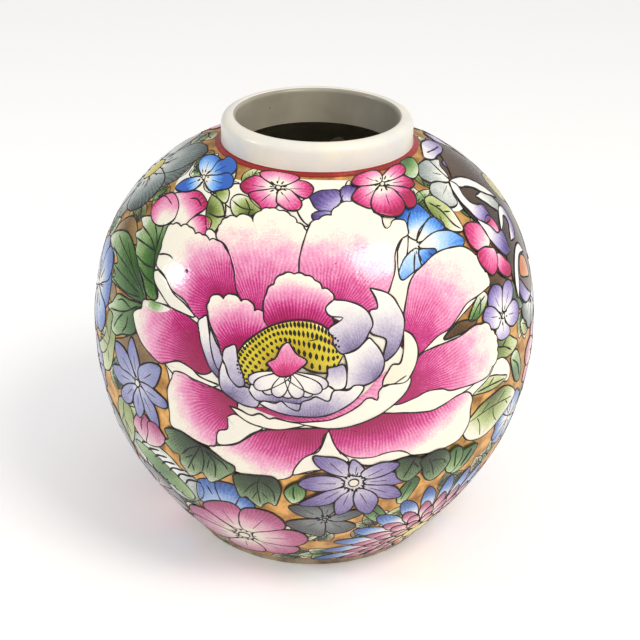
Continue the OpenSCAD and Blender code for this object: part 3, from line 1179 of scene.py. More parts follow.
@dataclass
class Peony:
    """The great open peony: rose outer petals, a violet cup and a crown of yellow stamens."""

    name: str
    spot: Spot
    outer: Paint = Paint.ROSE
    cup: Paint = Paint.LAVENDER
    line: float = 0.6

    def build(self, brush: Brush) -> None:
        """Paints it from the back petals to the seed head.

        Args:
            brush: what it is painted with.
        """
        brush.spot = self.spot
        for petal in CREAM_PETALS:
            self.petal(brush, petal, Paint.WHITE)
        for petal in ROSE_PETALS:
            self.petal(brush, petal, self.outer)
        self.lips(brush)
        for petal in CUP_PETALS:
            swap = {Paint.VIOLET: self.cup, Paint.ROSE: self.outer}
            self.petal(brush, petal, swap.get(petal.paint, petal.paint))
        self.stamens(brush)
        self.seed_head(brush)
        brush.finish(self.name, "rose_enamel")

    def petal(self, brush: Brush, petal: Petal, paint: Paint) -> None:
        """Paints one petal.

        Args:
            brush: what it is painted with.
            petal: the petal.
            paint: its enamel.
        """
        fade = Fade(petal.root, petal.near, petal.far)
        outline = scalloped(petal.outline, *petal.lobes)
        brush.dab(outline_of(outline, 0.75), paint, petal.coat, fade, petal.heart, self.line)

    def lips(self, brush: Brush) -> None:
        """Paints the cup's pink hollow and its cream lip.

        Args:
            brush: what it is painted with.
        """
        low = curve_of(((-20, 5), (-10, 2), (0, 1), (10, 2.5), (18, 6), (24, 12), (27, 20)), 40)
        high = curve_of(((-20, 5), (-12, 6), (-5, 5), (6, 6), (15, 10), (21, 16), (27, 20)), 40)
        brush.band(low, high, self.outer, 5, Fade((-30, 20), 16, 70), 0)
        lip = curve_of(((-5, 0.8), (5, -1), (12, -0.5), (20, 2), (26, 5.5), (30, 9), (32, 13),
                        (31, 15.5)), 44)
        scallops = ((-5, 0.8), (0, 1.5), (5, 2), (9, 3.5), (12, 5), (15, 7), (17, 9), (19, 9),
                    (20.5, 8), (21, 9), (21, 11), (23, 13), (26, 13), (28, 14), (31, 15.5))
        brush.band(lip, curve_of(scallops, 44), Paint.WHITE, 6, Fade((10, 60), -60, 60), self.line)

    def stamens(self, brush: Brush) -> None:
        """Paints the yellow crown, with rows of short dark dashes.

        Args:
            brush: what it is painted with.
        """
        steps = 46
        outer = curve_of(((-23, 14), (-25, 20), (-23, 25), (-19, 29), (-14, 32.5), (-9, 34.5),
                          (-4, 35.3), (1, 34.5), (5, 32), (8, 29), (9.5, 24.5)), steps)
        inner = curve_of(((-23, 14), (-20, 13), (-17, 15), (-14, 19), (-10, 23), (-7, 23.5),
                          (-3, 20), (1, 18.5), (6, 19), (9.5, 24.5)), steps)
        brush.band(outer, inner, Paint.YELLOW, 10, Fade((-8, 18), 2, 32), self.line)
        brush.dab(outline_of(arc((7.2, 29), 2.6, 0, 330)), Paint.ORANGE, 10.6, Fade((7, 29), -2, 5),
                  line=0)
        for row, share in enumerate((0.88, 0.68, 0.48, 0.28, 0.1)):
            count = 15 + 5 * row
            for i in range(count):
                at = steps * (0.06 + 0.86 * (i + 0.5 * (row % 2)) / count)
                low = outer_at(outer, inner, at, share + 0.08)
                high = outer_at(outer, inner, at, share - 0.08)
                dash = low + (high - low) * np.linspace(0, 1, 4)[:, None]
                brush.stroke(dash, 0.95, 11, ends=False)

    def seed_head(self, brush: Brush) -> None:
        """Paints the seed head and the small rays under it.

        Args:
            brush: what it is painted with.
        """
        foot = np.array([-8.0, 17.5])
        for i in (0, 2, 4, 6, 8, 1, 3, 5, 7):
            angle = math.radians(200 + 17.5 * i)
            tip = foot + np.array([13.5 * math.cos(angle), 7.2 * math.sin(angle) - 0.6])
            self.ray(brush, foot, tip, 2.3, 15 + i % 2)
        outline = outline_of(((-14.5, 21), (-12, 22.5), (-11, 24.5), (-10, 26.5), (-8, 28), (-6.5, 26),
                          (-5, 24.2), (-2, 22.3), (-4, 20), (-7, 17.5), (-10, 16.8), (-12, 17.5),
                          (-13.5, 19.5)), 0.8)
        brush.dab(outline, Paint.CERISE, 17, Fade((-8, 15), 1, 16), (-8.5, 21), self.line)

    def ray(self, brush: Brush, foot: np.ndarray, tip: np.ndarray, width: float,
            coat: float) -> None:
        """Paints one narrow petal from its foot to its tip.

        Args:
            brush: what it is painted with.
            foot: where it starts.
            tip: where it ends.
            width: half its width.
            coat: how many coats lie under it.
        """
        along = tip - foot
        side = np.array([-along[1], along[0]]) / np.hypot(*along) * width
        outline = [foot - 0.5 * side, foot + 0.6 * along - side, foot + 0.9 * along - 0.75 * side,
                   tip, foot + 0.9 * along + 0.75 * side, foot + 0.6 * along + side,
                   foot + 0.5 * side]
        reach = float(np.hypot(*along))
        brush.dab(outline_of(np.array(outline), 0.8), self.cup, coat,
                  Fade(tuple(foot), 1.6 * reach, 0.6 * reach), line=0.5)


def outer_at(outer: np.ndarray, inner: np.ndarray, at: float, share: float) -> np.ndarray:
    """Gives the point a share of the way from one curve to the other, at a step along them.

    Args:
        outer: points of one curve.
        inner: as many points of the other.
        at: steps along them.
        share: 0 on the first curve, 1 on the second.

    Returns:
        The point.
    """
    step = np.arange(len(outer))
    ends = [np.array([np.interp(at, step, c[:, 0]), np.interp(at, step, c[:, 1])])
            for c in (outer, inner)]
    return ends[0] * (1 - share) + ends[1] * share


class Shape(Enum):
    """Petal shapes, as (share of length, share of half width) from the foot to the tip."""

    ROUND = ((0.02, 0.1), (0.3, 0.5), (0.62, 1.0), (0.86, 0.85), (0.98, 0.35))
    NOTCHED = ((0.02, 0.1), (0.3, 0.5), (0.58, 0.95), (0.8, 0.98), (0.96, 0.55), (0.91, 0.05))
    POINTED = ((0.02, 0.2), (0.3, 0.8), (0.55, 1.0), (0.8, 0.62), (0.94, 0.22), (1.0, 0.0),
               (1.0, 0.0))
    OVAL = ((0.04, 0.3), (0.35, 0.85), (0.65, 1.0), (0.9, 0.6), (1.0, 0.1))


def petal_outline(shape: Shape, length: float, width: float, turn: float, foot: float = 0.0,
                  bend: float = 0.0) -> np.ndarray:
    """Draws a petal about a flower's middle.

    Args:
        shape: its shape.
        length: from the flower's middle to the tip.
        width: its full width.
        turn: its heading, in degrees anticlockwise from the right.
        foot: where it starts, as a share of its length.
        bend: how far its tip curls aside, as a share of its length.

    Returns:
        The closed outline.
    """
    half = np.array(shape.value)
    along = (foot + (1 - foot) * half[:, 0]) * length
    across = half[:, 1] * width / 2
    both = np.vstack([np.column_stack([along, -across]), np.column_stack([along, across])[::-1]])
    both[:, 1] += bend * length * (both[:, 0] / length) ** 2
    angle = math.radians(turn)
    spun = both @ np.array([[math.cos(angle), math.sin(angle)], [-math.sin(angle), math.cos(angle)]])
    return outline_of(spun, 0.9)


def heading(turn: float) -> np.ndarray:
    """Gives the unit step in a direction, in degrees anticlockwise from the right."""
    return np.array([math.cos(math.radians(turn)), math.sin(math.radians(turn))])


@dataclass(frozen=True)
class Flower:
    """An open flower: a ring of petals, veins drawn in them, and an eye."""

    name: str
    spot: Spot
    radius: float
    petals: int
    paint: Paint
    shape: Shape = Shape.NOTCHED
    fullness: float = 1.15
    deep: float = 1.0
    pale: float = 0.25
    eye: Paint | None = None
    eye_r: float = 0.0
    veins: int = 1
    dashes: int = 0
    seed: int = 1
    line: float = 0.58

    def build(self, brush: Brush) -> None:
        """Paints the petals, every second one under its neighbours, and then the eye.

        Args:
            brush: what it is painted with.
        """
        brush.spot = self.spot
        chance = np.random.default_rng(self.seed)
        width = 2 * self.radius * math.tan(math.pi / self.petals) * 0.72 * self.fullness
        for i in range(self.petals):
            turn = 360 * i / self.petals + chance.uniform(-5, 5)
            length = self.radius * chance.uniform(0.93, 1.05)
            last = 2 if i == self.petals - 1 and self.petals % 2 else i % 2
            outline = petal_outline(self.shape, length, width * chance.uniform(0.92, 1.06), turn)
            brush.dab(outline, self.paint, last,
                      Fade((0, 0), self.deep * length, self.pale * length),
                      tuple(heading(turn) * length * 0.6), self.line)
            self.draw_veins(brush, turn, length, last)
        self.draw_eye(brush)

    def draw_veins(self, brush: Brush, turn: float, length: float, coat: float) -> None:
        """Draws the veins of one petal.

        Args:
            brush: what it is painted with.
            turn: its heading in degrees.
            length: its length.
            coat: how many coats lie under it.
        """
        for j in range(self.veins):
            spread = (j - (self.veins - 1) / 2) * 60 / self.petals
            reach = length * (0.72 if abs(spread) < 1 else 0.55)
            along = np.linspace(0.14 * length, reach, 7)
            brush.stroke(heading(turn + spread * 0.6) * along[:, None], 0.46, coat)

    def draw_eye(self, brush: Brush) -> None:
        """Paints the eye and the stamens round it.

        Args:
            brush: what it is painted with.
        """
        if self.eye:
            ring = outline_of(arc((0, 0), self.eye_r, 0, 320), 0.8)
            brush.dab(ring, self.eye, 4, Fade((0, 0), -self.eye_r, 2 * self.eye_r), line=0.35)
        for i in range(self.dashes):
            turn = 360 * (i + 0.5) / self.dashes
            along = np.linspace(self.eye_r * 1.15 + 0.3, self.eye_r * 1.6 + 1.3 + 0.5 * (i % 2), 4)
            brush.stroke(heading(turn) * along[:, None], 0.5, 3, ends=False)


@dataclass(frozen=True)
class Leaf:
    """A leaf with a rib and side veins."""

    spot: Spot
    length: float
    width: float
    paint: Paint = Paint.GREEN
    veins: int = 4
    bend: float = 0.0
    deep: float = 0.1
    pale: float = 1.1
    line: float = 0.55

    def build(self, brush: Brush) -> None:
        """Paints the blade from its stalk, at the spot, to its tip.

        Args:
            brush: what it is painted with.
        """
        brush.spot = self.spot
        side = np.array([(0.0, 0.04), (0.08, 0.4), (0.25, 0.85), (0.48, 1.0), (0.72, 0.75),
                         (0.9, 0.32), (1.0, 0.0), (1.0, 0.0)])
        half = np.column_stack([side[:, 0] * self.length, side[:, 1] * self.width / 2])
        both = np.vstack([smooth(half * [1, -1], 0.4), smooth(half, 0.4)[::-1]])
        both[:, 1] += self.curl(both[:, 0])
        brush.dab(outline_of(both[::2]), self.paint, 0,
                  Fade((-0.1 * self.length, 0), self.deep * self.length, self.pale * self.length),
                  (0.45 * self.length, self.curl(0.45 * self.length)), self.line)
        rib = np.linspace(0, 0.93, 12) * self.length
        brush.stroke(np.column_stack([rib, self.curl(rib)]), 0.55, 0.1)
        for i in range(self.veins):
            start = self.length * (0.12 + 0.62 * i / self.veins)
            reach = self.width * 0.36 * (1 - 0.5 * i / self.veins)
            for way in (1, -1):
                step = np.linspace(0, 1, 6)
                x = start + step * reach * 1.1
                y = way * reach * step ** 0.9 * (1 - 0.12 * step)
                brush.stroke(np.column_stack([x, y + self.curl(x)]), 0.38, 0.1)

    def curl(self, x: float | np.ndarray) -> float | np.ndarray:
        """Gives how far the leaf curves aside at a distance from its stalk."""
        return self.bend * x ** 2 / self.length


@dataclass(frozen=True)
class Curl:
    """A long petal between two curves, which curls over at its tip."""

    rim: Points
    hollow: Points
    near: float
    far: float
    coat: int = 1
    paint: Paint = Paint.VIOLET

    def build(self, brush: Brush) -> None:
        """Paints it, white at the foot and coloured at the tip."""
        brush.band(curve_of(self.rim, 34), curve_of(self.hollow, 34), self.paint, self.coat,
                   Fade(self.rim[0], self.near, self.far), 0.7)


@dataclass(frozen=True)
class Sketch:
    """A motif drawn petal by petal, with its veins drawn over it."""

    name: str
    slot: str
    spot: Spot
    petals: tuple[Petal, ...]
    veins: tuple[Points, ...] = ()
    line: float = 0.6
    curls: tuple[Curl, ...] = ()
    vein: float = 0.55

    def build(self, brush: Brush) -> None:
        """Paints the petals in order, and then the veins.

        Args:
            brush: what it is painted with.
        """
        brush.spot = self.spot
        coats = sorted({petal.coat for petal in self.petals})
        for petal in self.petals:
            brush.dab(outline_of(petal.outline, 0.9), petal.paint, coats.index(petal.coat),
                      Fade(petal.root, petal.near, petal.far), petal.heart, self.line)
        for vein in self.veins:
            brush.stroke(smooth(vein, 0.9), self.vein, len(coats) - 0.6)
        for curl in self.curls:
            curl.build(brush)


def leaf_dab(paint: Paint, outline: Points, root: Point, far: float, coat: float = 0,
             near: float = 1.0) -> Petal:
    """Makes a leaf's dab, seen from its outline's middle."""
    x, y = np.mean(outline, axis=0)
    return Petal(outline, (float(x), float(y)), root, near, far, coat, paint)


@dataclass(frozen=True)
class DrawnBloom:
    """A flower whose petals are each drawn in their own shape, dark at the tip and pale within."""

    name: str
    spot: Spot
    middle: Point
    paint: Paint
    near: float
    far: float
    outlines: tuple[Points, ...]
    eye: Paint | None = Paint.WHITE
    eye_r: float = 0.9
    dashes: int = 9
    line: float = 0.62

    def build(self, brush: Brush) -> None:
        """Paints the petals over each other by turns, their ribs, the eye and its dashes.

        Args:
            brush: what it is painted with.
        """
        brush.spot = self.spot
        last = len(self.outlines) - 1
        middle = np.array(self.middle)
        reach = 1.5 * min(math.dist(middle, outline[0]) for outline in self.outlines) + 1.5
        brush.dab(outline_of(arc(self.middle, reach, 0, 330)), self.paint, 0, Fade(self.middle, -3, -2),
                  line=0)
        for i, outline in enumerate(self.outlines):
            coat = 2 if i == last and last % 3 == 0 else 1 + i % 3
            heart = np.mean(outline, axis=0)
            spread = outline - heart
            spread *= 1 + 0.45 / np.hypot(*spread.T)[:, None]
            brush.dab(outline_of(heart + spread, 0.8), self.paint, coat,
                      Fade(self.middle, self.near, self.far), tuple(heart), self.line)
            rib = middle + (heart - middle) * np.linspace(0.45, 1.25, 7)[:, None]
            brush.stroke(rib, 0.4, coat)
        if self.eye:
            ring = outline_of(arc(self.middle, self.eye_r, 0, 320), 0.6)
            brush.dab(ring, self.eye, 5, Fade(self.middle, -self.eye_r, 2 * self.eye_r), line=0.45)
        for i in range(self.dashes):
            along = np.linspace(self.eye_r * 1.3 + 0.5, self.eye_r * 1.5 + 1.8 + 0.6 * (i % 2), 4)
            brush.stroke(middle + heading(360 * (i + 0.5) / self.dashes) * along[:, None], 0.55, 4,
                         ends=False)


# ---------------------------------------------------------------- what is painted where

FRONT = Spot(0, 0, 4)
LOW = Spot(0, 0, 1)
OVER = Spot(0, 0, 16)

SKETCHES = (
    Sketch("white_ground", "white_glaze", Spot(0, 0, 1), (
        leaf_dab(Paint.WHITE, xy(-47, 57, -59, 67, -57, 74, -50, 79, -26, 81, -20, 85, 0, 86, 16, 84,
            26, 78, 30, 68, 22, 64, 0, 62, -20, 60), (-8, 160), 20, 0, -50),
        leaf_dab(Paint.WHITE, xy(24, 62, 28, 64, 34, 60, 38, 54, 38, 50, 34, 46, 30, 44, 26, 46, 25, 54),
            (30, 160), 20, 0, -50)),
        (), 0),
    Sketch("cerise_bloom_left", "rose_enamel", FRONT, (
        Petal(xy(-66, 62, -58, 65.5, -50, 69, -45, 70.7, -42, 70.3, -39, 68, -40, 65.5, -44, 62, -48, 57,
            -56, 56, -62, 58), (-50, 63), (-56, 54), 22, 9, 0, Paint.CERISE),
        Petal(xy(-47, 58, -43, 62.5, -38, 63.5, -36, 62.3, -37, 59, -39, 56.5, -44, 56), (-41, 60),
            (-46, 56), 11, 3, 0.7, Paint.CERISE),
        Petal(xy(-69, 57, -66, 61, -60, 65, -56, 65.3, -53, 63.5, -52.5, 61, -54, 57.5, -60, 54, -66, 54),
            (-59, 60), (-55, 52), 19, 6, 1.4, Paint.CERISE)),
        (xy(-68, 61, -62, 63, -56, 62), xy(-48, 67, -44, 68, -41, 66))),
    Sketch("pale_leaves_top", "green_enamel", FRONT, (
        leaf_dab(Paint.OLIVE, xy(-38, 60, -39, 66, -38, 71, -35, 73, -32, 71, -31, 67, -32, 63, -34, 60,
            -36, 57), (-38, 66), 9),
        leaf_dab(Paint.WHITE, xy(-34, 72, -31, 77, -27, 79, -23, 77, -20, 73, -24, 70, -29, 69), (-20, 70),
            6, -1),
        leaf_dab(Paint.OLIVE, xy(-35, 75, -31, 75.5, -30.5, 72, -32, 70, -36, 72), (-36, 75), 7, 0.4),
        leaf_dab(Paint.OLIVE, xy(-29.5, 71, -28, 74, -25, 75, -21, 74, -18, 71, -20, 68.5, -25, 66.5,
            -28, 67), (-22, 68), 8, 0.7),
        leaf_dab(Paint.WHITE, xy(-38, 58, -37, 59.5, -35, 59.5, -33, 57.5, -35, 55.5, -37, 56), (-36, 40),
            6, 1)),
        (xy(-39, 72, -33, 70, -31, 64, -33, 58), xy(-38, 65, -34, 64.5, -30, 66), xy(-29, 72, -25, 70,
         -20, 70), xy(-24, 74, -22, 70, -23, 66.5))),
    Sketch("violet_bloom_top", "violet_enamel", FRONT, (
        leaf_dab(Paint.WHITE, xy(-6, 74, 0, 79, 8, 79, 15, 78, 12, 72, 6, 68, 0, 66, -4, 68), (0, 99), 9,
            -1.5),
        Petal(xy(-2, 78, 1, 80.5, 4, 81, 7.5, 80.5, 9.5, 76, 9.5, 73, 7, 71.5, 3, 71.5, 0, 73, -1.5, 76),
            (4, 76), (11, 71), 12, 2, 0, Paint.VIOLET),
        Petal(xy(8, 81, 10, 82.5, 14, 82, 16, 79.5, 15, 76, 12, 75.5, 10.5, 73, 9, 75, 8, 78), (12, 78.5),
            (10, 70), 12, 4, 0.5, Paint.VIOLET),
        Petal(xy(-1, 71, 2, 72, 7, 71.5, 9, 70, 6, 68.5, 3, 66.5, 1, 67, -1, 69), (3, 69.5), (10, 71), 11,
            1, 0.3, Paint.VIOLET)),
        (xy(10, 71, 8, 75, 9, 79), xy(10, 71, 5, 70.5, 3, 69))),
    Sketch("sky_blue_bloom", "blue_enamel", FRONT, (
        Petal(xy(31, 60, 30, 64, 27, 66, 28, 69, 32, 71, 36, 70, 39, 67, 41, 64, 38, 61, 35, 57.5),
            (34, 64), (35, 55), 13, 5, 0, Paint.BLUE),
        Petal(xy(34.5, 57, 37, 61, 40, 63.5, 43.5, 63, 47, 59, 42, 58, 38, 57), (40, 60), (34, 55), 13, 4,
            0.4, Paint.BLUE),
        Petal(xy(35, 55.5, 39, 57.8, 43, 58.5, 48, 57.5, 52, 55.5, 55.5, 52.5, 53, 50, 48, 50, 43, 51,
            40, 52, 37, 54), (44, 54.5), (34, 54), 24, 4, 0.7, Paint.BLUE),
        Petal(xy(35, 54, 38, 54, 42, 52.5, 40, 48, 37, 47, 35.5, 50), (38, 51), (34, 55), 7, -2, 0.9,
            Paint.BLUE),
        Petal(xy(34, 55, 36, 52, 36, 48, 33, 44.5, 30, 40.5, 28, 39.5, 27, 42, 26.5, 46, 28, 50, 30, 53),
            (31, 48), (33, 56), 19, -3, 0.4, Paint.BLUE),
        leaf_dab(Paint.WHITE, xy(24, 42, 25, 48, 27, 55, 29, 59, 31, 60.5, 30.5, 54, 28, 48, 27, 43),
            (27, 20), 10, 0.2)),
        (xy(31, 60, 31.5, 65, 33, 68), xy(34, 57, 36, 61, 41, 64), xy(35, 53, 36, 50), xy(33.5, 54, 33, 50,
         33, 46), xy(38, 53.5, 40, 51.5, 42, 51), xy(33, 55, 32.5, 54), xy(34, 54.2, 34.2, 52.8),
         xy(35.6, 55, 36.6, 54))),
    Sketch("small_leaves_right", "green_enamel", FRONT, (
        leaf_dab(Paint.GREEN, xy(31, 85, 33, 88, 37, 88, 41, 86, 41, 82, 38, 79.5, 35, 80, 33, 82),
            (36, 89), 10, 14),
        leaf_dab(Paint.OLIVE, xy(39.5, 70.5, 43, 71, 47, 68, 51, 64.5, 54, 60, 56, 55.5, 52, 56, 48, 58,
            44, 62, 41, 66), (40, 62), 13, 3),
        leaf_dab(Paint.GREEN, xy(55, 27.5, 57, 31, 60, 34, 63, 34.3, 65, 32, 63, 29, 60, 27, 57, 26.5),
            (59, 24), 10, 3),
        leaf_dab(Paint.BROWN, xy(64, 37, 67, 38.7, 71, 38, 75, 35, 79, 32.5, 76, 31.5, 71, 34, 67, 35),
            (68, 30), 14, 3),
        leaf_dab(Paint.BROWN, xy(44.5, 24.5, 48, 27, 51, 28, 55, 27.5, 59, 26, 55, 24.3, 50, 23, 46, 23.5),
            (50, 20), 14, 3),
        leaf_dab(Paint.DARK_GREEN, xy(77, 33, 82, 31.5, 86, 27, 89, 22, 90, 20, 87, 20.5, 83, 24, 79, 29),
            (80, 24), 14, 3),
        leaf_dab(Paint.OLIVE, xy(69, 10, 69.5, 15.5, 73, 16.3, 77, 15.5, 81, 13, 85, 10, 82, 8, 77, 7.5,
            73, 9), (68, 14), 20, 1),
        leaf_dab(Paint.WHITE, xy(64, 5, 68, 9, 71, 9.7, 75, 8, 79, 4, 80, 0, 78, -2, 72, 1, 66, 3),
            (70, 40), 9, 0),
        leaf_dab(Paint.OLIVE, xy(56, 1, 60, 3.5, 64, 4.7, 69, 4, 74, 2, 78, 0, 72, -1.2, 66, -1, 61, 0),
            (66, -8), 16, 1),
        leaf_dab(Paint.GREEN, xy(80, 6, 84, 7.5, 88, 3, 90.5, -3, 89, -7, 85, -5, 82, 0), (84, -5), 14, 1)),
        (xy(41, 69, 46, 65, 51, 59, 55, 56), xy(44, 67, 47, 66), xy(47, 64, 51, 63), xy(45, 63.5, 46, 61),
         xy(56, 27, 60, 31, 64, 33), xy(60, 27.5, 61, 31, 60.5, 33.5), xy(69, 14, 75, 12, 80, 9),
         xy(73, 12.5, 76, 14.5), xy(60, 1, 67, 1, 76, 0), xy(66, 1.2, 69, 3.5), xy(60, 2, 63, 4), xy(81, 5,
         86, 1, 89, -5))),
    Sketch("broad_leaf_right", "green_enamel", FRONT, (
        Petal(xy(56, -10, 59, -7.5, 63, -5, 69, -3.7, 76, -3.3, 82, -6, 87, -11, 83, -14, 76, -17,
            70, -19.5, 64, -20, 58, -18, 55, -14), (68, -11), (70, -2), 3, 18, 1, Paint.OLIVE),),
        (xy(57, -10, 66, -8.5, 75, -9, 84, -11), xy(61, -9.3, 63, -13, 64, -19), xy(70, -8.8, 71, -13,
         74, -17), xy(63, -9, 68, -5.5), xy(72, -8.8, 78, -5), xy(78, -9.4, 81, -13))),
    Sketch("serrated_leaves_left", "green_enamel", FRONT, (
        leaf_dab(Paint.GREEN, xy(-57, 32, -58, 40, -57.5, 47, -55.5, 52, -55, 56, -58, 57.7, -60, 57,
            -61, 54.5, -66, 55, -70, 54, -74, 52, -71, 50, -75, 47, -72.5, 45, -72, 42, -69, 39, -65, 36,
            -62, 32), (-57, 42), 19, 0, 3),
        leaf_dab(Paint.GREEN, xy(-62, 30, -66, 36, -71, 41, -76, 44, -82, 44.7, -89, 43, -96, 40, -100, 37,
            -94, 36, -88, 36.5, -84, 34.5, -88, 32.5, -84, 30.5, -88, 28, -80, 28, -72, 28, -66, 28.5),
            (-68, 34), 36, 0.7, 2),
        leaf_dab(Paint.GREEN, xy(-64, 28, -72, 27, -80, 26, -84, 22, -88, 19, -83, 18, -84, 13, -80, 12,
            -76, 14, -70, 16, -67, 18.5, -68, 22, -68, 25), (-66, 20), 22, 0.3, 2)),
        (xy(-57, 33, -59.5, 40, -60, 46, -58, 56), xy(-59.5, 45, -64, 49, -72, 50.5), xy(-60, 46, -66, 46.2,
         -74, 46), xy(-59.5, 41, -65, 40.5, -71, 41.5), xy(-58.5, 36, -64, 37, -68, 39), xy(-59.5, 47,
         -61, 51, -64, 54), xy(-63, 31, -70, 36, -78, 39.5, -90, 41.5), xy(-66, 32.5, -76, 36, -92, 37),
         xy(-66, 31, -76, 32.5, -88, 33), xy(-65, 30, -75, 28.5, -88, 29), xy(-70, 35.5, -74, 39, -79, 43),
         xy(-66, 27, -75, 22, -86, 19), xy(-70, 24.5, -76, 25.5, -80, 24), xy(-72, 22, -73, 18, -76, 14.5),
         xy(-75, 21.5, -79, 18, -82, 14))),
    Sketch("leaves_and_painted_shade_left_edge", "green_enamel", LOW, (
        # The three brown dabs are painted shade and dark reflection of the gilt ground near the left edge;
        # the olive ones are leaves.
        leaf_dab(Paint.BROWN, xy(-73, 44, -75, 48.5, -81, 50, -88, 47.5, -96, 42, -92, 40, -82, 43),
            (-85, 45), 14, 0, -22),
        leaf_dab(Paint.BROWN, xy(-86, 29, -89, 34.5, -95, 35, -100, 32, -96, 28, -91, 25, -85, 21,
            -82, 25.5), (-90, 28), 14, 0, -22),
        leaf_dab(Paint.BROWN, xy(-81, 10, -76, 12.5, -69, 16.5, -66, 17.5, -60, 13.5, -55, 12, -60, 8,
            -70, 6, -77, 7), (-68, 10), 24, 0, -36),
        leaf_dab(Paint.OLIVE, xy(-81, 12, -84, 18, -88, 17, -90, 9, -96, 3, -103, -2, -95, -7, -88, -5,
            -84, 0, -82, 6), (-86, 16), 38, 1, -12),
        leaf_dab(Paint.OLIVE, xy(-72, -13, -77, -11, -81, -13, -83, -20, -81, -28, -77, -33, -73, -28,
            -71, -20), (-77, -10), 40, 1, -14)),
        (xy(-84, 16, -86, 8, -91, 1, -99, -3), xy(-86, 8, -89, 12), xy(-87, 5, -94, 5), xy(-88, 4, -87, -2),
         xy(-77, -12, -78, -20, -77, -31), xy(-78, -18, -81, -24), xy(-78, -21, -74, -27))),
    Sketch("touches", "green_enamel", Spot(0, 0, 13), (
        leaf_dab(Paint.GREEN, xy(-62.5, 28.8, -60, 30.8, -54, 31.3, -50, 30.6, -54, 28.6, -58, 27.8),
            (-57, 31.5), 4.6, 0, -2.5),
        leaf_dab(Paint.BROWN, xy(-44.8, 44.3, -44, 45.1, -43.2, 44.3, -44, 43.5), (-44, 44), 9),
        leaf_dab(Paint.BROWN, xy(6, 53, 6.5, 53.5, 7, 53, 6.5, 52.5), (6.5, 53), 9),
        leaf_dab(Paint.BROWN, xy(-55.1, 19.3, -54.8, 19.6, -54.5, 19.3, -54.8, 19), (-55, 19), 9)),
        (xy(-58, 45.5, -55, 46.6, -52, 46.9, -50.3, 46.2),), 0),
    Sketch("dark_leaves_low", "green_enamel", OVER, (
        Petal(xy(-53, -12.5, -49, -11, -45, -11, -40, -13, -34, -15, -29, -18, -26, -19.5, -26, -22,
            -29, -25, -32, -28, -35, -30, -36.5, -28, -38, -26, -40, -28, -43, -30, -45, -28, -47, -25,
            -47, -21.5, -50, -21, -53.5, -18, -51.5, -16), (-39, -20), (-37, -6), 8, 26, 0,
            Paint.DARK_GREEN),
        Petal(xy(-26, -23, -21, -22, -15, -21.5, -12, -22, -10.5, -25, -10, -28, -11, -33, -12, -36,
            -14, -34.5, -16, -36, -17, -38, -20, -35.5, -22, -33, -24, -34, -25.5, -30, -26.3, -26),
            (-18, -28), (-17, -14), 9, 26, 0.5, Paint.DARK_GREEN),
        leaf_dab(Paint.GREEN, xy(-9, -28, -7, -25, -4, -23.5, -2, -27, -2.5, -31, -6, -34, -8.5, -31),
            (-5, -22), 13, -1, 2)),
        (xy(-38, -14, -43, -17, -46, -21), xy(-38, -14, -41, -20, -44, -27), xy(-38, -14, -37, -20,
         -38, -26), xy(-37, -15, -33, -20, -33, -27), xy(-36, -15.5, -30, -19, -28, -22), xy(-41, -19,
         -45, -22), xy(-42, -23, -41, -27), xy(-35, -19, -36, -24), xy(-17, -22, -18, -27, -17, -36),
         xy(-17.5, -24, -21, -28, -23, -32), xy(-17, -24, -13, -28, -12, -34), xy(-18, -29, -20, -34),
         xy(-17, -29, -14, -33), xy(-6, -25, -6, -29, -5.5, -32))),
    Sketch("fringed_leaf", "green_enamel", LOW, (
        Petal(xy(-75, -25, -68, -23, -60, -23, -53, -25, -48, -29, -43, -31, -39, -35, -39, -41, -43, -47,
            -49, -49, -58, -45, -66, -40, -74, -34), (-57, -35), (-58, -34), 30, 6, 0.4, Paint.GREY),
        Petal(xy(-72, -28, -64, -27.5, -56, -30.5, -48, -36, -43, -43, -45, -47, -52, -44, -60, -40,
            -68, -34), (-57, -36), (-57, -36), -8, 26, 0.8, Paint.GREEN)),
        tuple(xy(-68 + 3.6 * i, -27.5 - 1.7 * i, -66 + 3.6 * i, -25.5 - 1.4 * i,
         -61 + 3.7 * i, -23.5 - 1.6 * i) for i in range(7)) + tuple(xy(-66 + 3.6 * i, -34 - 1.9 * i,
         -67 + 3.6 * i, -36.5 - 1.7 * i, -65 + 3.5 * i, -40 - 1.4 * i) for i in range(6)), vein=1.0),
    Sketch("blue_bloom_low", "blue_enamel", LOW, (
        Petal(xy(-41, -33, -38, -30, -34, -29.3, -32.5, -34, -31, -40, -36, -44, -41, -44), (-36, -37),
            (-32, -46), 18, 1, 1, Paint.DEEP_BLUE),
        Petal(xy(-33.5, -30, -30, -28.8, -26, -29.5, -24, -33, -25, -36, -27, -41, -31, -41, -33, -36),
            (-29, -35), (-31, -47), 18, 2, 1.6, Paint.DEEP_BLUE),
        Petal(xy(-25, -35, -22, -35, -19.5, -38, -20, -42, -25, -43, -27, -39), (-23, -39), (-30, -46), 15,
            2, 1.2, Paint.DEEP_BLUE)),
        (xy(-34, -33, -32.5, -37), xy(-37, -33, -35, -38))),
    Sketch("rose_bud", "rose_enamel", FRONT, (
        Petal(xy(-71, -20, -70, -16, -67, -12.5, -63, -11.5, -61, -14.5, -61, -20, -63, -24.5, -67, -24),
            (-65, -18), (-64, -8), 2, 18, 0, Paint.OLD_ROSE),
        Petal(xy(-62, -14, -58, -12.7, -55, -15.5, -53.5, -18, -56, -22, -60, -24.3, -64, -24.5,
            -62.5, -19), (-59, -18), (-58, -8), 2, 18, 0.6, Paint.OLD_ROSE)),
        (xy(-64, -12.5, -66, -16, -66, -20),)),
    Sketch("green_cluster", "green_enamel", OVER, (
        leaf_dab(Paint.DARK_GREEN, xy(28, -17, 31, -15.8, 36, -17, 39, -20, 37, -24, 33, -27, 29, -24.5,
            28, -20), (35, -13), 19, 0, 4),
        leaf_dab(Paint.DARK_GREEN, xy(37, -19, 40, -17, 44, -16, 48, -18, 49.5, -23, 46, -28, 42, -30,
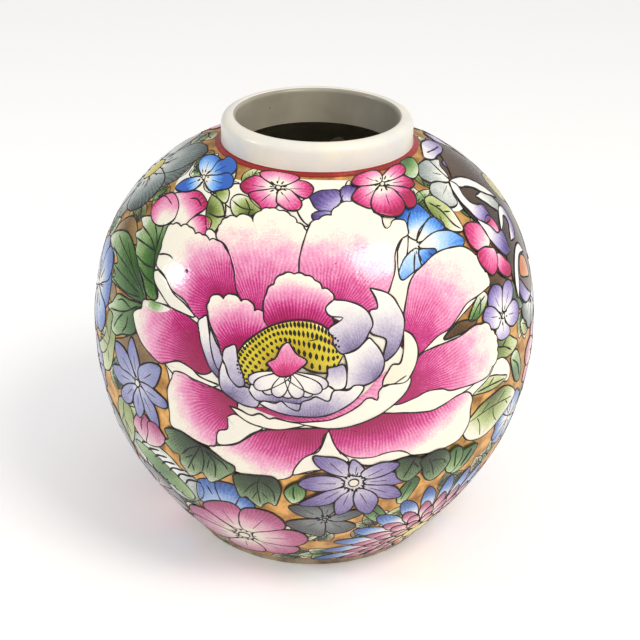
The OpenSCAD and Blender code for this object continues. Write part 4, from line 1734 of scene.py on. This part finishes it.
            39, -27, 38, -22), (40, -15), 19, 0.5, 4),
        leaf_dab(Paint.GREEN, xy(49, -20, 52, -17.8, 55, -20, 55, -25, 51, -30, 48, -27), (52, -16), 16,
            -0.5, 3),
        leaf_dab(Paint.GREEN, xy(54, -22, 60, -20.8, 63, -22, 59, -28, 53, -31, 50, -29), (60, -19), 16,
            -0.8, 3)),
        (xy(35, -17, 33, -21, 31, -25), xy(34, -18, 37, -22), xy(40, -18, 42, -23, 43, -28), xy(41, -20,
         46, -21, 48, -24), xy(42, -24, 39, -26), xy(52, -19, 52, -28), xy(60, -22, 55, -29))),
    Sketch("leaves_low_right", "green_enamel", LOW, (
        leaf_dab(Paint.GREEN, xy(33, -28, 36, -26.5, 38, -29, 36, -34, 33, -39.5, 30, -39, 30, -33),
            (36, -26), 17, 1, 4),
        leaf_dab(Paint.GREEN, xy(17, -39, 22, -37.5, 25, -42, 27, -47, 30, -51, 25, -51, 20, -46),
            (20, -36), 18, 1, 3)),
        (xy(35, -28, 33, -33, 31, -38), xy(20, -39, 24, -45, 28, -50), xy(23, -43, 22, -46))),
    Sketch("curled_petals_right", "violet_enamel", Spot(0, 0, 9), (
        leaf_dab(Paint.BROWN, xy(57, 66, 60, 74, 64, 80, 72, 81, 82, 76, 92, 69, 102, 60, 108, 48, 108, 30,
            104, 20, 94, 20, 86, 26, 82, 36, 78, 46, 70, 52, 62, 58), (80, 50), 90, 0, 0),
        leaf_dab(Paint.VIOLET, xy(48, 84, 54, 86.5, 62, 85, 70, 82, 75, 78, 67, 78.5, 60, 80, 53, 81),
            (40, 80), 8, 0.5, 50),
        leaf_dab(Paint.ORANGE, xy(91, 30, 92, 34, 96, 35, 101, 32, 103, 26, 98, 27), (95, 32), 14, 0.5,
            -3)),
        (xy(52, 84, 60, 82, 70, 79.5),), 0.6, (Curl(xy(56, 72, 55.5, 69, 58, 64, 62, 59.5, 66, 55.5, 71, 53,
         76, 53), xy(56, 72, 60, 69, 61, 65.5, 64, 62, 68, 59.8, 73, 58, 76, 53), 26, 14, 4),
         Curl(xy(56, 72, 62, 71, 68, 69, 76, 65, 84, 60, 92, 54), xy(56, 72, 61, 68, 66, 66.5, 72, 64,
         80, 59.5, 92, 54), 60, 30, 3), Curl(xy(70, 62, 77, 61, 84, 58, 90, 53, 96, 47), xy(70, 62, 76, 58,
         82, 54, 89, 50, 96, 47), 40, 4, 2, Paint.GREY), Curl(xy(65, 56, 69.5, 49, 75, 43.5, 80, 40,
         84.5, 40), xy(65, 56, 72, 52, 77, 48, 82, 47, 84.5, 40), 22, 9, 5), Curl(xy(81, 47, 84, 51,
         89, 52.5, 94, 50, 97, 44, 94, 41, 88, 42), xy(81, 47, 85, 48, 88, 49.5, 91, 48.5, 92, 46, 90, 44.5,
         88, 42), 16, 9, 3), Curl(xy(86, 24, 84.5, 30, 86, 35, 90, 38.5, 96, 38.5, 101, 34), xy(86, 24,
         88, 29, 89, 33, 92, 35.5, 96, 35.5, 101, 34), 40, 14, 4), Curl(xy(86, 32, 90, 29, 96, 24, 102, 20),
         xy(86, 32, 88, 25, 94, 20, 102, 20), 3, 22, 3))),
    Sketch("pink_ovals", "rose_enamel", Spot(0, 0, 13), (
        Petal(xy(56, 56, 59, 56.7, 63, 55.7, 66, 54, 68.5, 51, 70, 47.5, 67, 46, 62, 47, 59, 49, 57, 52),
            (63, 51), (70, 46), 17, 2, 0, Paint.CERISE),
        Petal(xy(61, 46.5, 65, 47.2, 69, 46, 72, 44.5, 73, 41, 71, 38, 68, 37.7, 65, 40, 62, 43), (67, 43),
            (73, 47), 12, 0, 0.7, Paint.CERISE),
        Petal(xy(72, 42.5, 75, 42.3, 79, 39, 82, 36.5, 81, 33.5, 77, 34.5, 73, 37.5), (76.5, 38.5),
            (71, 45), 13, 2, 0.3, Paint.CERISE),
        Petal(xy(70, 54, 74, 54.5, 78, 51, 79, 48, 76, 46.7, 73, 49, 71, 51), (75, 51), (76, 47), 9, -1,
            -0.5, Paint.CERISE))),
)

FLOWERS = (
    Flower("grey_bloom_left", Spot(-92, 62, 1, 23), 24, 8, Paint.GREY, Shape.OVAL, 1.35, pale=0.2,
           eye=Paint.YELLOW, eye_r=5, veins=2, dashes=16, seed=4),
    Flower("blue_rose_bloom_left", Spot(-76.5, 20, 2, 14), 17, 7, Paint.DEEP_BLUE, Shape.ROUND, 1.2,
           deep=1.1, pale=0.2, veins=2, seed=10),
    Flower("slate_bloom_left", Spot(-54, -52, 1, 0), 14, 6, Paint.SLATE, Shape.ROUND, 1.2,
           deep=1.4, pale=0.0, veins=2, seed=14),
    Flower("blue_bloom_far_right", Spot(62, -21, 1, 0), 11, 6, Paint.DEEP_BLUE, pale=0.3, seed=15),
)


DRAWN_BLOOMS = (
    DrawnBloom("blue_bloom_left", Spot(0, 0, 5), (-44, 76), Paint.BLUE, 10, 2, (
        xy(-44, 77, -48, 77.5, -51, 79.5, -50, 82, -46, 84, -42, 85, -39.5, 84.5, -40.5, 81),
        xy(-43, 77, -41, 80, -39.5, 84, -37, 85.5, -36, 87.3, -33, 87.8, -30.5, 86.5, -30, 84, -32, 81.5,
            -35, 80, -38, 78.5),
        xy(-43, 76.5, -37, 79, -33, 81.3, -30.5, 80.5, -30, 78, -31.5, 76, -35, 74.5, -38, 73, -41, 74),
        xy(-44, 75, -47, 75, -50, 73.5, -54, 71.5, -58, 67.5, -53, 68, -48.5, 70, -46, 72))),
    DrawnBloom("pink_bloom_top", Spot(0, 0, 5), (-12.5, 80.7), Paint.CERISE, 12, 3, (
        xy(-14, 80, -16, 82, -20, 84, -23, 82.5, -25.5, 80, -26, 78, -24, 76.3, -21, 76.5, -17, 78.5),
        xy(-13.5, 79.5, -17, 78.5, -22, 76.5, -22, 74.5, -20, 72.5, -17, 71, -14, 72, -12.5, 75),
        xy(-12, 79, -12.5, 75, -11.5, 73.8, -9, 72.2, -6, 72.5, -5, 75, -7, 78, -9, 80),
        xy(-11.5, 80.5, -8, 80, -4, 77.5, -2, 79, -1.5, 82, -4, 84.5, -8, 84),
        xy(-12, 82, -8, 84, -6, 86.5, -10, 87.7, -15, 87.7, -19, 86, -17, 83.5))),
    DrawnBloom("cerise_bloom_top", Spot(0, 0, 17), (22.5, 80.5), Paint.CERISE, 12, 2.5, (
        xy(21, 80, 17, 81, 14, 80, 12, 76.5, 14.5, 73.8, 18, 72, 19, 75, 20, 77.5),
        xy(22, 79.5, 19.5, 77, 18.5, 73, 20, 70, 24, 68, 28, 67.5, 30, 69.5, 29.5, 73, 27, 77),
        xy(23, 79.5, 27, 77, 30, 73, 31.5, 69.5, 34.5, 69.5, 35, 72, 33, 75.5, 29, 77.5),
        xy(24, 80, 29, 77, 35, 76.5, 35, 78.5, 33, 80.5, 29, 82.5, 25, 82),
        xy(22.5, 81.5, 24, 84.5, 28, 86.5, 32, 86, 33, 83.5, 30, 82),
        xy(21.5, 81.5, 22, 85, 19, 87, 14, 86, 12, 83, 15, 81.5))),
    DrawnBloom("grey_bloom_right", Spot(0, 0, 2), (58, 73), Paint.GREY, 30, 3, (
        xy(41, 78.5, 41, 82.5, 46, 83, 51, 81.5, 55, 77, 58.5, 72.5, 55, 72, 50, 73.5, 46, 75),
        xy(51, 81.5, 56, 80, 61, 78, 66, 76.5, 69, 73.5, 66, 71, 60, 72, 57, 73),
        xy(43.5, 72.5, 45, 74.5, 49, 73.8, 53, 72, 56, 71, 55, 68, 56, 64.5, 52, 64.5, 48, 67, 45, 70),
        xy(64, 70, 72, 71, 80, 67, 86, 61, 78, 61, 70, 64, 64, 67)), None, dashes=0, line=0.75),
    DrawnBloom("violet_bloom_right", Spot(0, 0, 5), (73.7, 23), Paint.VIOLET, 15, 3, (
        xy(72, 24.5, 67, 25.5, 65.5, 29, 66, 32.5, 69, 34, 72.5, 33, 74, 30, 73.5, 26),
        xy(74, 25, 74.5, 30, 76.5, 32.5, 80, 32, 82, 29, 80, 26, 77, 24.5),
        xy(75, 23, 78, 24.5, 82, 25, 85.5, 22, 85, 18.5, 81, 17.5, 77, 19.5),
        xy(74, 22, 77, 19, 78, 15.5, 73, 15.5, 69.5, 18, 71, 21),
        xy(72, 23, 70, 20.5, 66, 22, 62.5, 25.5, 64, 28.5, 67.5, 27.5, 70, 25.5))),
    DrawnBloom("clematis", Spot(0, 0, 16), (13.8, -23.7), Paint.MAUVE, 24, 1, (
        xy(11, -20.5, 6, -18.5, 2, -15.5, 0.8, -12, 4, -12.2, 8, -13, 11, -15, 12.5, -19),
        xy(12.8, -19.5, 12.5, -16.5, 13.4, -14, 15.5, -16, 17, -18.5, 16, -20.5),
        xy(16.5, -20.5, 18, -18.2, 23, -16.5, 28.5, -17.5, 28, -19.5, 24, -21.5, 19, -22.3),
        xy(18, -23, 23, -21, 27.5, -21.8, 31, -26.5, 27, -27, 22, -26.5, 18, -25),
        xy(17.5, -25.5, 22, -26.5, 26, -27.5, 29, -30, 30.5, -34, 26, -34, 22, -31.5, 18.5, -28),
        xy(16, -27, 20, -29.5, 22, -33, 21.5, -37, 19.5, -41, 16, -38, 14.5, -33, 14.5, -29),
        xy(13.5, -27.5, 14.2, -32, 13, -37, 9, -40, 8, -36, 8.5, -32, 11, -28),
        xy(10.5, -26, 6, -27, 1, -30, -3.8, -34, 2, -34.5, 6.5, -33, 9.5, -29.5, 12, -27.5),
        xy(10, -24.5, 5, -26.5, 0, -26.5, -4, -24, -1, -21, 4, -20.3, 9, -21.5)), eye_r=1.7, dashes=17),
    DrawnBloom("star_bloom_left", Spot(0, 0, 3), (-66.3, 0), Paint.PERIWINKLE, 27, -4, (
        xy(-66, 2, -68, 4, -71, 8.5, -71, 12, -69.3, 15, -67, 12, -65.5, 8, -65.3, 4),
        xy(-65, 2, -65, 6, -61, 9, -57, 10.3, -54.5, 9.5, -56, 5, -58, 2, -61, 1.2),
        xy(-64.5, 0.8, -60, 1.2, -56, 0, -52.5, -1.5, -52.5, -4, -56, -4.5, -59, -3.8, -62, -1.5),
        xy(-65, -1, -61, -3, -58, -6.5, -56.5, -11, -57, -14.5, -60, -12.5, -63, -9, -65, -5),
        xy(-66, -2, -65, -5, -63.8, -9, -66, -13.5, -68, -12.5, -69, -8, -68, -4),
        xy(-67, -1.5, -71, -2.5, -75, -5.5, -77.5, -9.5, -75, -11.5, -71, -9.5, -69.3, -5.5),
        xy(-68, 0, -72, 1.5, -77, 1.5, -83, -1, -81, -4, -76, -4.8, -71, -3),
        xy(-68, 1.5, -72, 2, -77, 2, -80, 5.5, -80, 9.3, -75, 9.5, -71.5, 7.5, -69, 4)), eye_r=1.3,
            dashes=0),
    DrawnBloom("grey_bloom_low", Spot(0, 0, 3), (4.5, -43.5), Paint.SLATE, 15, -5, (
        xy(3, -42.5, -2, -42, -6, -39, -7, -36.5, -3, -35.5, 2, -36, 4, -39),
        xy(4.5, -41.5, 4, -38, 3, -35.8, 8, -34.5, 7.5, -38, 6, -41),
        xy(6, -43, 9, -41, 13, -39.5, 18, -39.5, 17, -42, 12, -44.5, 8, -45),
        xy(6, -44.5, 9, -45.5, 13, -47, 15, -50, 12, -53.5, 7, -54, 5, -49),
        xy(4, -45, 4.5, -50, 3.5, -56, -2, -53.5, -7, -49.5, -8, -46.5, -4, -44.5, 1, -43.8)), Paint.GREY,
            0.7, 8),
    DrawnBloom("old_rose_bloom_low", Spot(0, 0, 4), (-24, -63), Paint.OLD_ROSE, 25, 6, (
        xy(-25, -58, -24.5, -50, -25, -43, -28, -40, -33, -41, -38, -44.5, -39, -49, -34, -53, -29, -57),
        xy(-24, -57, -25, -50, -24, -43, -20, -40.5, -14, -41.5, -10, -46, -9.5, -51, -14, -55, -19, -58),
        xy(-20, -59, -14, -55, -9, -52.5, -4, -53.5, -1.5, -58, -2.5, -63, -6, -66.5, -12, -66.5, -19, -65),
        xy(-20, -65, -12, -67, -5, -68, -5, -73, -9, -77, -15, -78, -19, -72),
        xy(-22, -67, -18, -72, -17, -78, -22, -81, -28, -81, -31, -76, -27, -70),
        xy(-27, -67, -31, -73, -37, -76, -44, -73, -47, -66, -44, -61, -35, -62, -28, -64),
        xy(-28, -60, -34, -54.5, -39, -50.5, -45, -52, -47, -57, -45, -61, -36, -62.5, -29, -63)),
            eye_r=2.2, dashes=12),
)


@dataclass(frozen=True)
class Chrysanthemum:
    """A large bloom of many narrow petals in rows, blue outside and rose inside."""

    name: str
    spot: Spot
    radius: float
    rows: tuple[tuple[float, int, Paint], ...]

    def build(self, brush: Brush) -> None:
        """Paints the rows from the outside in, and a yellow disc in the middle.

        Args:
            brush: what it is painted with.
        """
        brush.spot = self.spot
        for row, (share, count, paint) in enumerate(self.rows):
            for i in range(count):
                turn = 360 * (i + 0.5 * (row % 2)) / count
                length = self.radius * share
                width = 2 * math.pi * length / count * 0.62
                outline = petal_outline(Shape.OVAL, length, width, turn, foot=0.45, bend=0.05)
                brush.dab(outline, paint, 2 * row + i % 2,
                          Fade(tuple(heading(turn + 90) * 0.2 * length), 0.96 * length,
                               0.66 * length),
                          heart=tuple(heading(turn) * length * 0.75
                                      + heading(turn + 90) * 0.03 * length), line=0.4, step=3)
        reach = self.radius * self.rows[-1][0] * 0.5
        brush.dab(outline_of(arc((0, 0), reach, 0, 330), 2), Paint.YELLOW, 2 * len(self.rows),
                  Fade((0, 0), -reach, 1.4 * reach), line=0.4)
        brush.finish(self.name, "blue_enamel")


@dataclass(frozen=True)
class CurledBloom:
    """A bloom of long white petals whose violet tips curl over, on a brown ground."""

    name: str
    spot: Spot
    radius: float
    petals: int
    paint: Paint = Paint.VIOLET
    seed: int = 1

    def build(self, brush: Brush) -> None:
        """Paints the petals round the bloom, each curled the same way.

        Args:
            brush: what it is painted with.
        """
        brush.spot = self.spot
        chance = np.random.default_rng(self.seed)
        for i in range(self.petals):
            turn = 360 * i / self.petals + chance.uniform(-6, 6)
            length = self.radius * chance.uniform(0.8, 1.05)
            self.petal(brush, turn, length, 1 + i % 3)
        brush.dab(outline_of(frilled(arc((0, 0), 0.86 * self.radius, 0, 352, 40), 18, 2.5), 2), Paint.BROWN,
                  0, Fade((0, 0), 0, 3 * self.radius), line=0)
        reach = 0.2 * self.radius
        brush.dab(outline_of(arc((0, 0), reach, 0, 330)), Paint.YELLOW, 4,
                  Fade((0, 0), -reach, 1.4 * reach))
        brush.finish(self.name, "violet_enamel")

    def petal(self, brush: Brush, turn: float, length: float, coat: float) -> None:
        """Paints one petal with its hook-shaped tip.

        Args:
            brush: what it is painted with.
            turn: its heading in degrees.
            length: its length.
            coat: how many coats lie under it.
        """
        right, left = heading(turn), heading(turn + 90)
        rim = ((0.1, 0.03), (0.4, 0.12), (0.7, 0.18), (0.9, 0.13), (1.02, -0.03), (0.9, -0.2))
        hollow = ((0.1, 0.03), (0.4, 0.0), (0.62, -0.02), (0.76, -0.04), (0.82, -0.12), (0.9, -0.2))
        curves = [curve_of(np.array([length * (a * right + b * left) for a, b in side]), 26)
                  for side in (rim, hollow)]
        brush.band(curves[0], curves[1], self.paint, coat,
                   Fade((0, 0), 1.08 * length, 0.72 * length), 0.6)


# Rows of petals from the outside in: (share of the radius, petals, colour).
BLUE_ROWS = ((1.0, 24, Paint.DEEP_BLUE), (0.75, 22, Paint.OLD_ROSE), (0.58, 18, Paint.OLD_ROSE),
             (0.42, 13, Paint.OLD_ROSE), (0.3, 9, Paint.ORANGE))


CURLED_BLOOM = CurledBloom("curled_bloom", Spot(93, 54, 5, 10), 33, 13)
FRONT_CHRYSANTHEMUM = Chrysanthemum("blue_chrysanthemum", Spot(41.5, -70, 2), 37, BLUE_ROWS)
BACK_CHRYSANTHEMUM = Chrysanthemum("back_chrysanthemum", Spot(-132, -66, 2), 33, BLUE_ROWS)


class Ground:
    """Keeps count of what is covered, and scatters small flowers and leaves over the rest."""

    def __init__(self, wall: Wall, seed: int) -> None:
        """Starts with nothing covered.

        Args:
            wall: the jar's outside.
            seed: starts the random draws.
        """
        self.wall = wall
        self.chance = np.random.default_rng(seed)
        self.discs: list[tuple[np.ndarray, float]] = []

    def point(self, azimuth: float, y: float) -> np.ndarray:
        """Gives a spot's place in millimetres."""
        return self.wall.place(azimuth, np.zeros(1), np.array([y]), np.zeros(1))[0] / MM

    def cover(self, azimuth: float, y: float, radius: float) -> None:
        """Marks a round area as covered."""
        self.discs.append((self.point(azimuth, y), radius))

    def cover_drawing(self, spot: Spot, discs: Points) -> None:
        """Marks (x, y, radius) areas of a drawing as covered.

        Args:
            spot: where the drawing is.
            discs: its covered areas.
        """
        for x, y, radius in discs:
            side = -x if spot.mirrored else x
            reach = float(np.interp(y + spot.arc, self.wall.arcs, self.wall.outline[:, 0]))
            self.cover(spot.azimuth + math.degrees(side / reach), y + spot.arc, radius)

    def free(self, azimuth: float, y: float, radius: float, share: float) -> bool:
        """Tells whether a round area keeps clear of the covered ones."""
        here = self.point(azimuth, y)
        return all(np.linalg.norm(here - at) > share * (radius + r) for at, r in self.discs)

    def spots(self, radius: float, tries: int, share: float) -> list[Spot]:
        """Finds free spots for motifs of a size, from the neck down to the foot.

        Args:
            radius: the motif's radius.
            tries: how many places are tried.
            share: how near two motifs may come, as a share of their radii.

        Returns:
            The spots, in order round the jar.
        """
        found = []
        low, high = self.wall.arcs[0] + 4, self.wall.arcs[-1] - 3
        for _ in range(tries):
            azimuth = self.chance.uniform(-180, 180)
            y = self.chance.uniform(low, high)
            turn = self.chance.uniform(0, 360)
            if self.free(azimuth, y, radius, share):
                self.cover(azimuth, y, radius)
                found.append(Spot(azimuth, y, int(self.chance.integers(2, 5)), turn))
        return sorted(found, key=lambda spot: spot.azimuth)


# What the peony and the rest of the front cover, as (x, y, radius) discs.
PEONY_DISCS = ((-45, 46, 14), (-20, 56, 15), (10, 58, 17), (46, 40, 16), (52, 14, 17), (40, -6, 15),
               (20, -6, 12), (-15, -12, 14), (-40, 0, 13), (-55, 22, 15), (0, 20, 32),
               (-27, 28, 16), (27, 25, 16))
FRONT_DISCS = ((-55, 62, 10), (-33, 68, 6), (-24, 71, 5), (5, 76, 8), (35, 58, 10), (48, 56, 8),
               (36, 84, 5), (46, 64, 6), (60, 30, 5), (72, 36, 6), (52, 25, 5), (84, 26, 5),
               (76, 12, 8), (67, 2, 8), (85, 0, 7), (68, -11, 14), (-66, 46, 12), (-78, 36, 14),
               (-92, 38, 8), (-76, 20, 11), (-40, -20, 12), (-18, -28, 10), (-5, -29, 5),
               (-57, -34, 15), (-68, -29, 8), (-46, -42, 8), (-30, -38, 11), (-62, -18, 9),
               (34, -21, 8), (44, -22, 8), (55, -24, 8), (34, -33, 6), (23, -44, 6), (65, 48, 10),
               (75, 40, 6), (-85, 26, 5), (-53, -8, 4), (-54, 5, 4), (-73, 11, 4),
               (-44, -46, 4), (-12, -40, 4), (16, -49, 4), (27, -37, 4), (41, -33, 4), (64, -27, 5),
               (7, -57, 4), (-27, 84, 4), (4, 84, 4))


# ---------------------------------------------------------------- the room

@dataclass
class Studio:
    """A pale table, soft light from all round, two lamps and the camera."""

    distance: float = 545.0
    height: float = 26.34
    aim_z: float = 78.5
    roll: float = 0.9
    lens: float = 82.94

    def build(self) -> None:
        """Sets up the room."""
        self.floor()
        world = bpy.data.worlds.new("soft_room")
        bpy.context.scene.world = world
        world.use_nodes = True
        sky = world.node_tree.nodes["Background"]
        sky.inputs["Color"].default_value = linear("#FFFFFF")
        self.brighter_side(world.node_tree, sky)
        self.lamp("window", (-0.911, -0.168, 0.377), 0.9, 0.13, 1.6, "#EEF4FF")
        self.lamp("softbox", (0.426, -0.444, 0.789), 0.9, 0.30, 3.7, "#FFF8EE")
        self.camera()
        bpy.context.scene.view_settings.view_transform = "Standard"

    def brighter_side(self, tree: bpy.types.NodeTree, sky: bpy.types.Node) -> None:
        """Makes the room brighter above and to the right than to the left.

        Args:
            tree: the world's node tree.
            sky: its background node.
        """
        place = add_node(tree, "TexCoord")
        way = add_node(tree, "VectorMath", {0: place.outputs["Generated"], 1: (0.62, -0.12, 0.77)},
                       operation="DOT_PRODUCT")
        share = add_node(tree, "MapRange", {"Value": way.outputs["Value"], "From Min": -1,
                                            "From Max": 1, "To Min": 0.07, "To Max": 0.88})
        tree.links.new(share.outputs["Result"], sky.inputs["Strength"])

    def floor(self) -> None:
        """Lays the table."""
        deselect()
        bpy.ops.mesh.primitive_plane_add(size=6.0)
        table = bpy.context.object
        table.name = table.data.name = "table"
        made, tree = new_material("white_card")
        shader = add_node(tree, "BsdfPrincipled", {"Base Color": linear("#FAF9F7"), "Roughness": 0.9,
                                                   "Emission Color": linear("#FFFFFF"),
                                                   "Emission Strength": 0.16})
        add_node(tree, "OutputMaterial", {"Surface": shader.outputs["BSDF"]})
        table.data.materials.append(made)

    def lamp(self, name: str, direction: tuple[float, float, float], distance: float, size: float,
             power: float, colour: str) -> None:
        """Hangs a square lamp that faces the jar's middle.

        Args:
            name: the lamp's name.
            direction: the way from the jar to the lamp.
            distance: metres from the jar's middle.
            size: how wide it is, in metres.
            power: its watts.
            colour: its sRGB hex colour.
        """
        light = bpy.data.lights.new(name, "AREA")
        light.size = size
        light.energy = power
        light.color = linear(colour)[:3]
        lamp = bpy.data.objects.new(name, light)
        bpy.context.scene.collection.objects.link(lamp)
        way = Vector(direction).normalized()
        lamp.location = Vector((0, 0, self.aim_z * MM)) + way * distance
        lamp.rotation_euler = way.to_track_quat("Z", "Y").to_euler()

    def camera(self) -> None:
        """Sets the camera up in front of the jar, looking down on it."""
        data = bpy.data.cameras.new("camera")
        data.lens = self.lens
        data.sensor_width = 36
        data.shift_x = 0.009
        data.shift_y = -0.0067
        camera = bpy.data.objects.new("camera", data)
        bpy.context.scene.collection.objects.link(camera)
        rise = math.radians(self.height)
        back = Vector((0, -math.cos(rise), math.sin(rise)))
        level = Vector((1, 0, 0))
        up = back.cross(level)
        lean = math.radians(self.roll)
        right = math.cos(lean) * level + math.sin(lean) * up
        over = math.cos(lean) * up - math.sin(lean) * level
        place = Vector((0, 0, self.aim_z * MM)) + back * self.distance * MM
        camera.matrix_world = Matrix((
            (right.x, over.x, back.x, place.x), (right.y, over.y, back.y, place.y),
            (right.z, over.z, back.z, place.z), (0, 0, 0, 1)))
        bpy.context.scene.camera = camera


BLOOM_TRIES = ((15, 500), (11, 900), (8, 1200))  # (radius, tries), from large to small
BLOOM_ROOM = 0.93     # how near two blooms may come, as a share of their radii
BLOOMS_A_PIECE = 5
SPRIG_RADIUS = 5
SPRIG_TRIES = 1800
SPRIG_ROOM = 0.72
SPRIGS_A_PIECE = 16
PAIRS = ((Paint.ROSE, Paint.WHITE), (Paint.BLUE, Paint.WHITE), (Paint.CERISE, Paint.YELLOW),
         (Paint.VIOLET, Paint.YELLOW), (Paint.GREY, Paint.YELLOW), (Paint.PERIWINKLE, Paint.WHITE),
         (Paint.DEEP_BLUE, Paint.YELLOW), (Paint.OLD_ROSE, Paint.WHITE), (Paint.SLATE, Paint.GREY),
         (Paint.MAUVE, Paint.YELLOW))
SHAPES = (Shape.NOTCHED, Shape.ROUND, Shape.POINTED, Shape.NOTCHED, Shape.OVAL)


SLOTS = {Paint.BLUE: "blue_enamel", Paint.GREY: "grey_enamel", Paint.ROSE: "rose_enamel",
         Paint.CERISE: "rose_enamel", Paint.VIOLET: "violet_enamel",
         Paint.PERIWINKLE: "violet_enamel", Paint.DEEP_BLUE: "blue_enamel",
         Paint.MAUVE: "violet_enamel", Paint.SLATE: "grey_enamel", Paint.OLD_ROSE: "rose_enamel"}


def paint_front(brush: Brush) -> None:
    """Paints the side with the great peony.

    Args:
        brush: what it is painted with.
    """
    for sketch in SKETCHES:
        sketch.build(brush)
        brush.finish(sketch.name, sketch.slot)
    for flower in FLOWERS + DRAWN_BLOOMS:
        flower.build(brush)
        brush.finish(flower.name, SLOTS[flower.paint])
    CURLED_BLOOM.build(brush)
    FRONT_CHRYSANTHEMUM.build(brush)
    Peony("front_peony", Spot(0, 0, 9)).build(brush)


def paint_rest(brush: Brush, ground: Ground) -> None:
    """Paints the back, and scatters small flowers and leaves over what is left.

    Args:
        brush: what it is painted with.
        ground: what is covered so far.
    """
    back = Spot(180, -2, 9, 0, True)
    Peony("back_peony", back, Paint.ROSE, Paint.BLUE).build(brush)
    BACK_CHRYSANTHEMUM.build(brush)
    ground.cover_drawing(FRONT, PEONY_DISCS + FRONT_DISCS)
    ground.cover_drawing(back, PEONY_DISCS)
    for flower in FLOWERS:
        ground.cover(flower.spot.azimuth, flower.spot.arc, flower.radius)
    ground.cover(CURLED_BLOOM.spot.azimuth, CURLED_BLOOM.spot.arc, 30)
    for bloom in DRAWN_BLOOMS:
        reach = 0.8 * max(math.dist(bloom.middle, point) for point in bloom.outlines[0])
        ground.cover_drawing(FRONT, ((*bloom.middle, reach),))
    for bloom, reach in ((FRONT_CHRYSANTHEMUM, 33), (BACK_CHRYSANTHEMUM, 32)):
        ground.cover(bloom.spot.azimuth, bloom.spot.arc, reach)
    blooms = [(spot, radius) for radius, tries in BLOOM_TRIES
              for spot in ground.spots(radius, tries, BLOOM_ROOM)]
    blooms.sort(key=lambda pair: pair[0].azimuth)
    for start in range(0, len(blooms), BLOOMS_A_PIECE):
        for number, (spot, radius) in enumerate(blooms[start:start + BLOOMS_A_PIECE], start):
            paint, eye = PAIRS[number * 3 % len(PAIRS)]
            shape = SHAPES[number % len(SHAPES)]
            petals = 8 if shape in (Shape.POINTED, Shape.OVAL) else 5 + number % 2
            Flower("bloom", spot, radius * 1.06, petals, paint, shape, pale=0.3, eye=eye,
                   eye_r=0.14 * radius, veins=1 + number % 2, dashes=10, seed=number).build(brush)
        brush.finish(f"wreath_{start // BLOOMS_A_PIECE + 1:02d}", "rose_enamel")
    sprigs = ground.spots(SPRIG_RADIUS, SPRIG_TRIES, SPRIG_ROOM)
    for start in range(0, len(sprigs), SPRIGS_A_PIECE):
        for number, spot in enumerate(sprigs[start:start + SPRIGS_A_PIECE], start):
            paint = (Paint.GREEN, Paint.OLIVE, Paint.DARK_GREEN, Paint.GREEN)[number % 4]
            for side in (-38, 0, 38) if number % 3 else (-20, 25):
                stalk = Spot(spot.azimuth, spot.arc, number % 2, spot.turn + side)
                Leaf(stalk, 12 - abs(side) * 0.06, 7.5, paint, veins=3, bend=0.1).build(brush)
        brush.finish(f"leaves_{start // SPRIGS_A_PIECE + 1:02d}", "green_enamel")


def main() -> None:
    """Builds the jar and its room."""
    logging.basicConfig(level=logging.INFO, format="%(message)s")
    wall = Wall()
    brush = Brush(wall)
    paint_front(brush)
    paint_rest(brush, Ground(wall, 7))
    BALLS.clear()
    ThrownJar(wall).build()
    Studio().build()


if __name__ == "__main__":
    main()
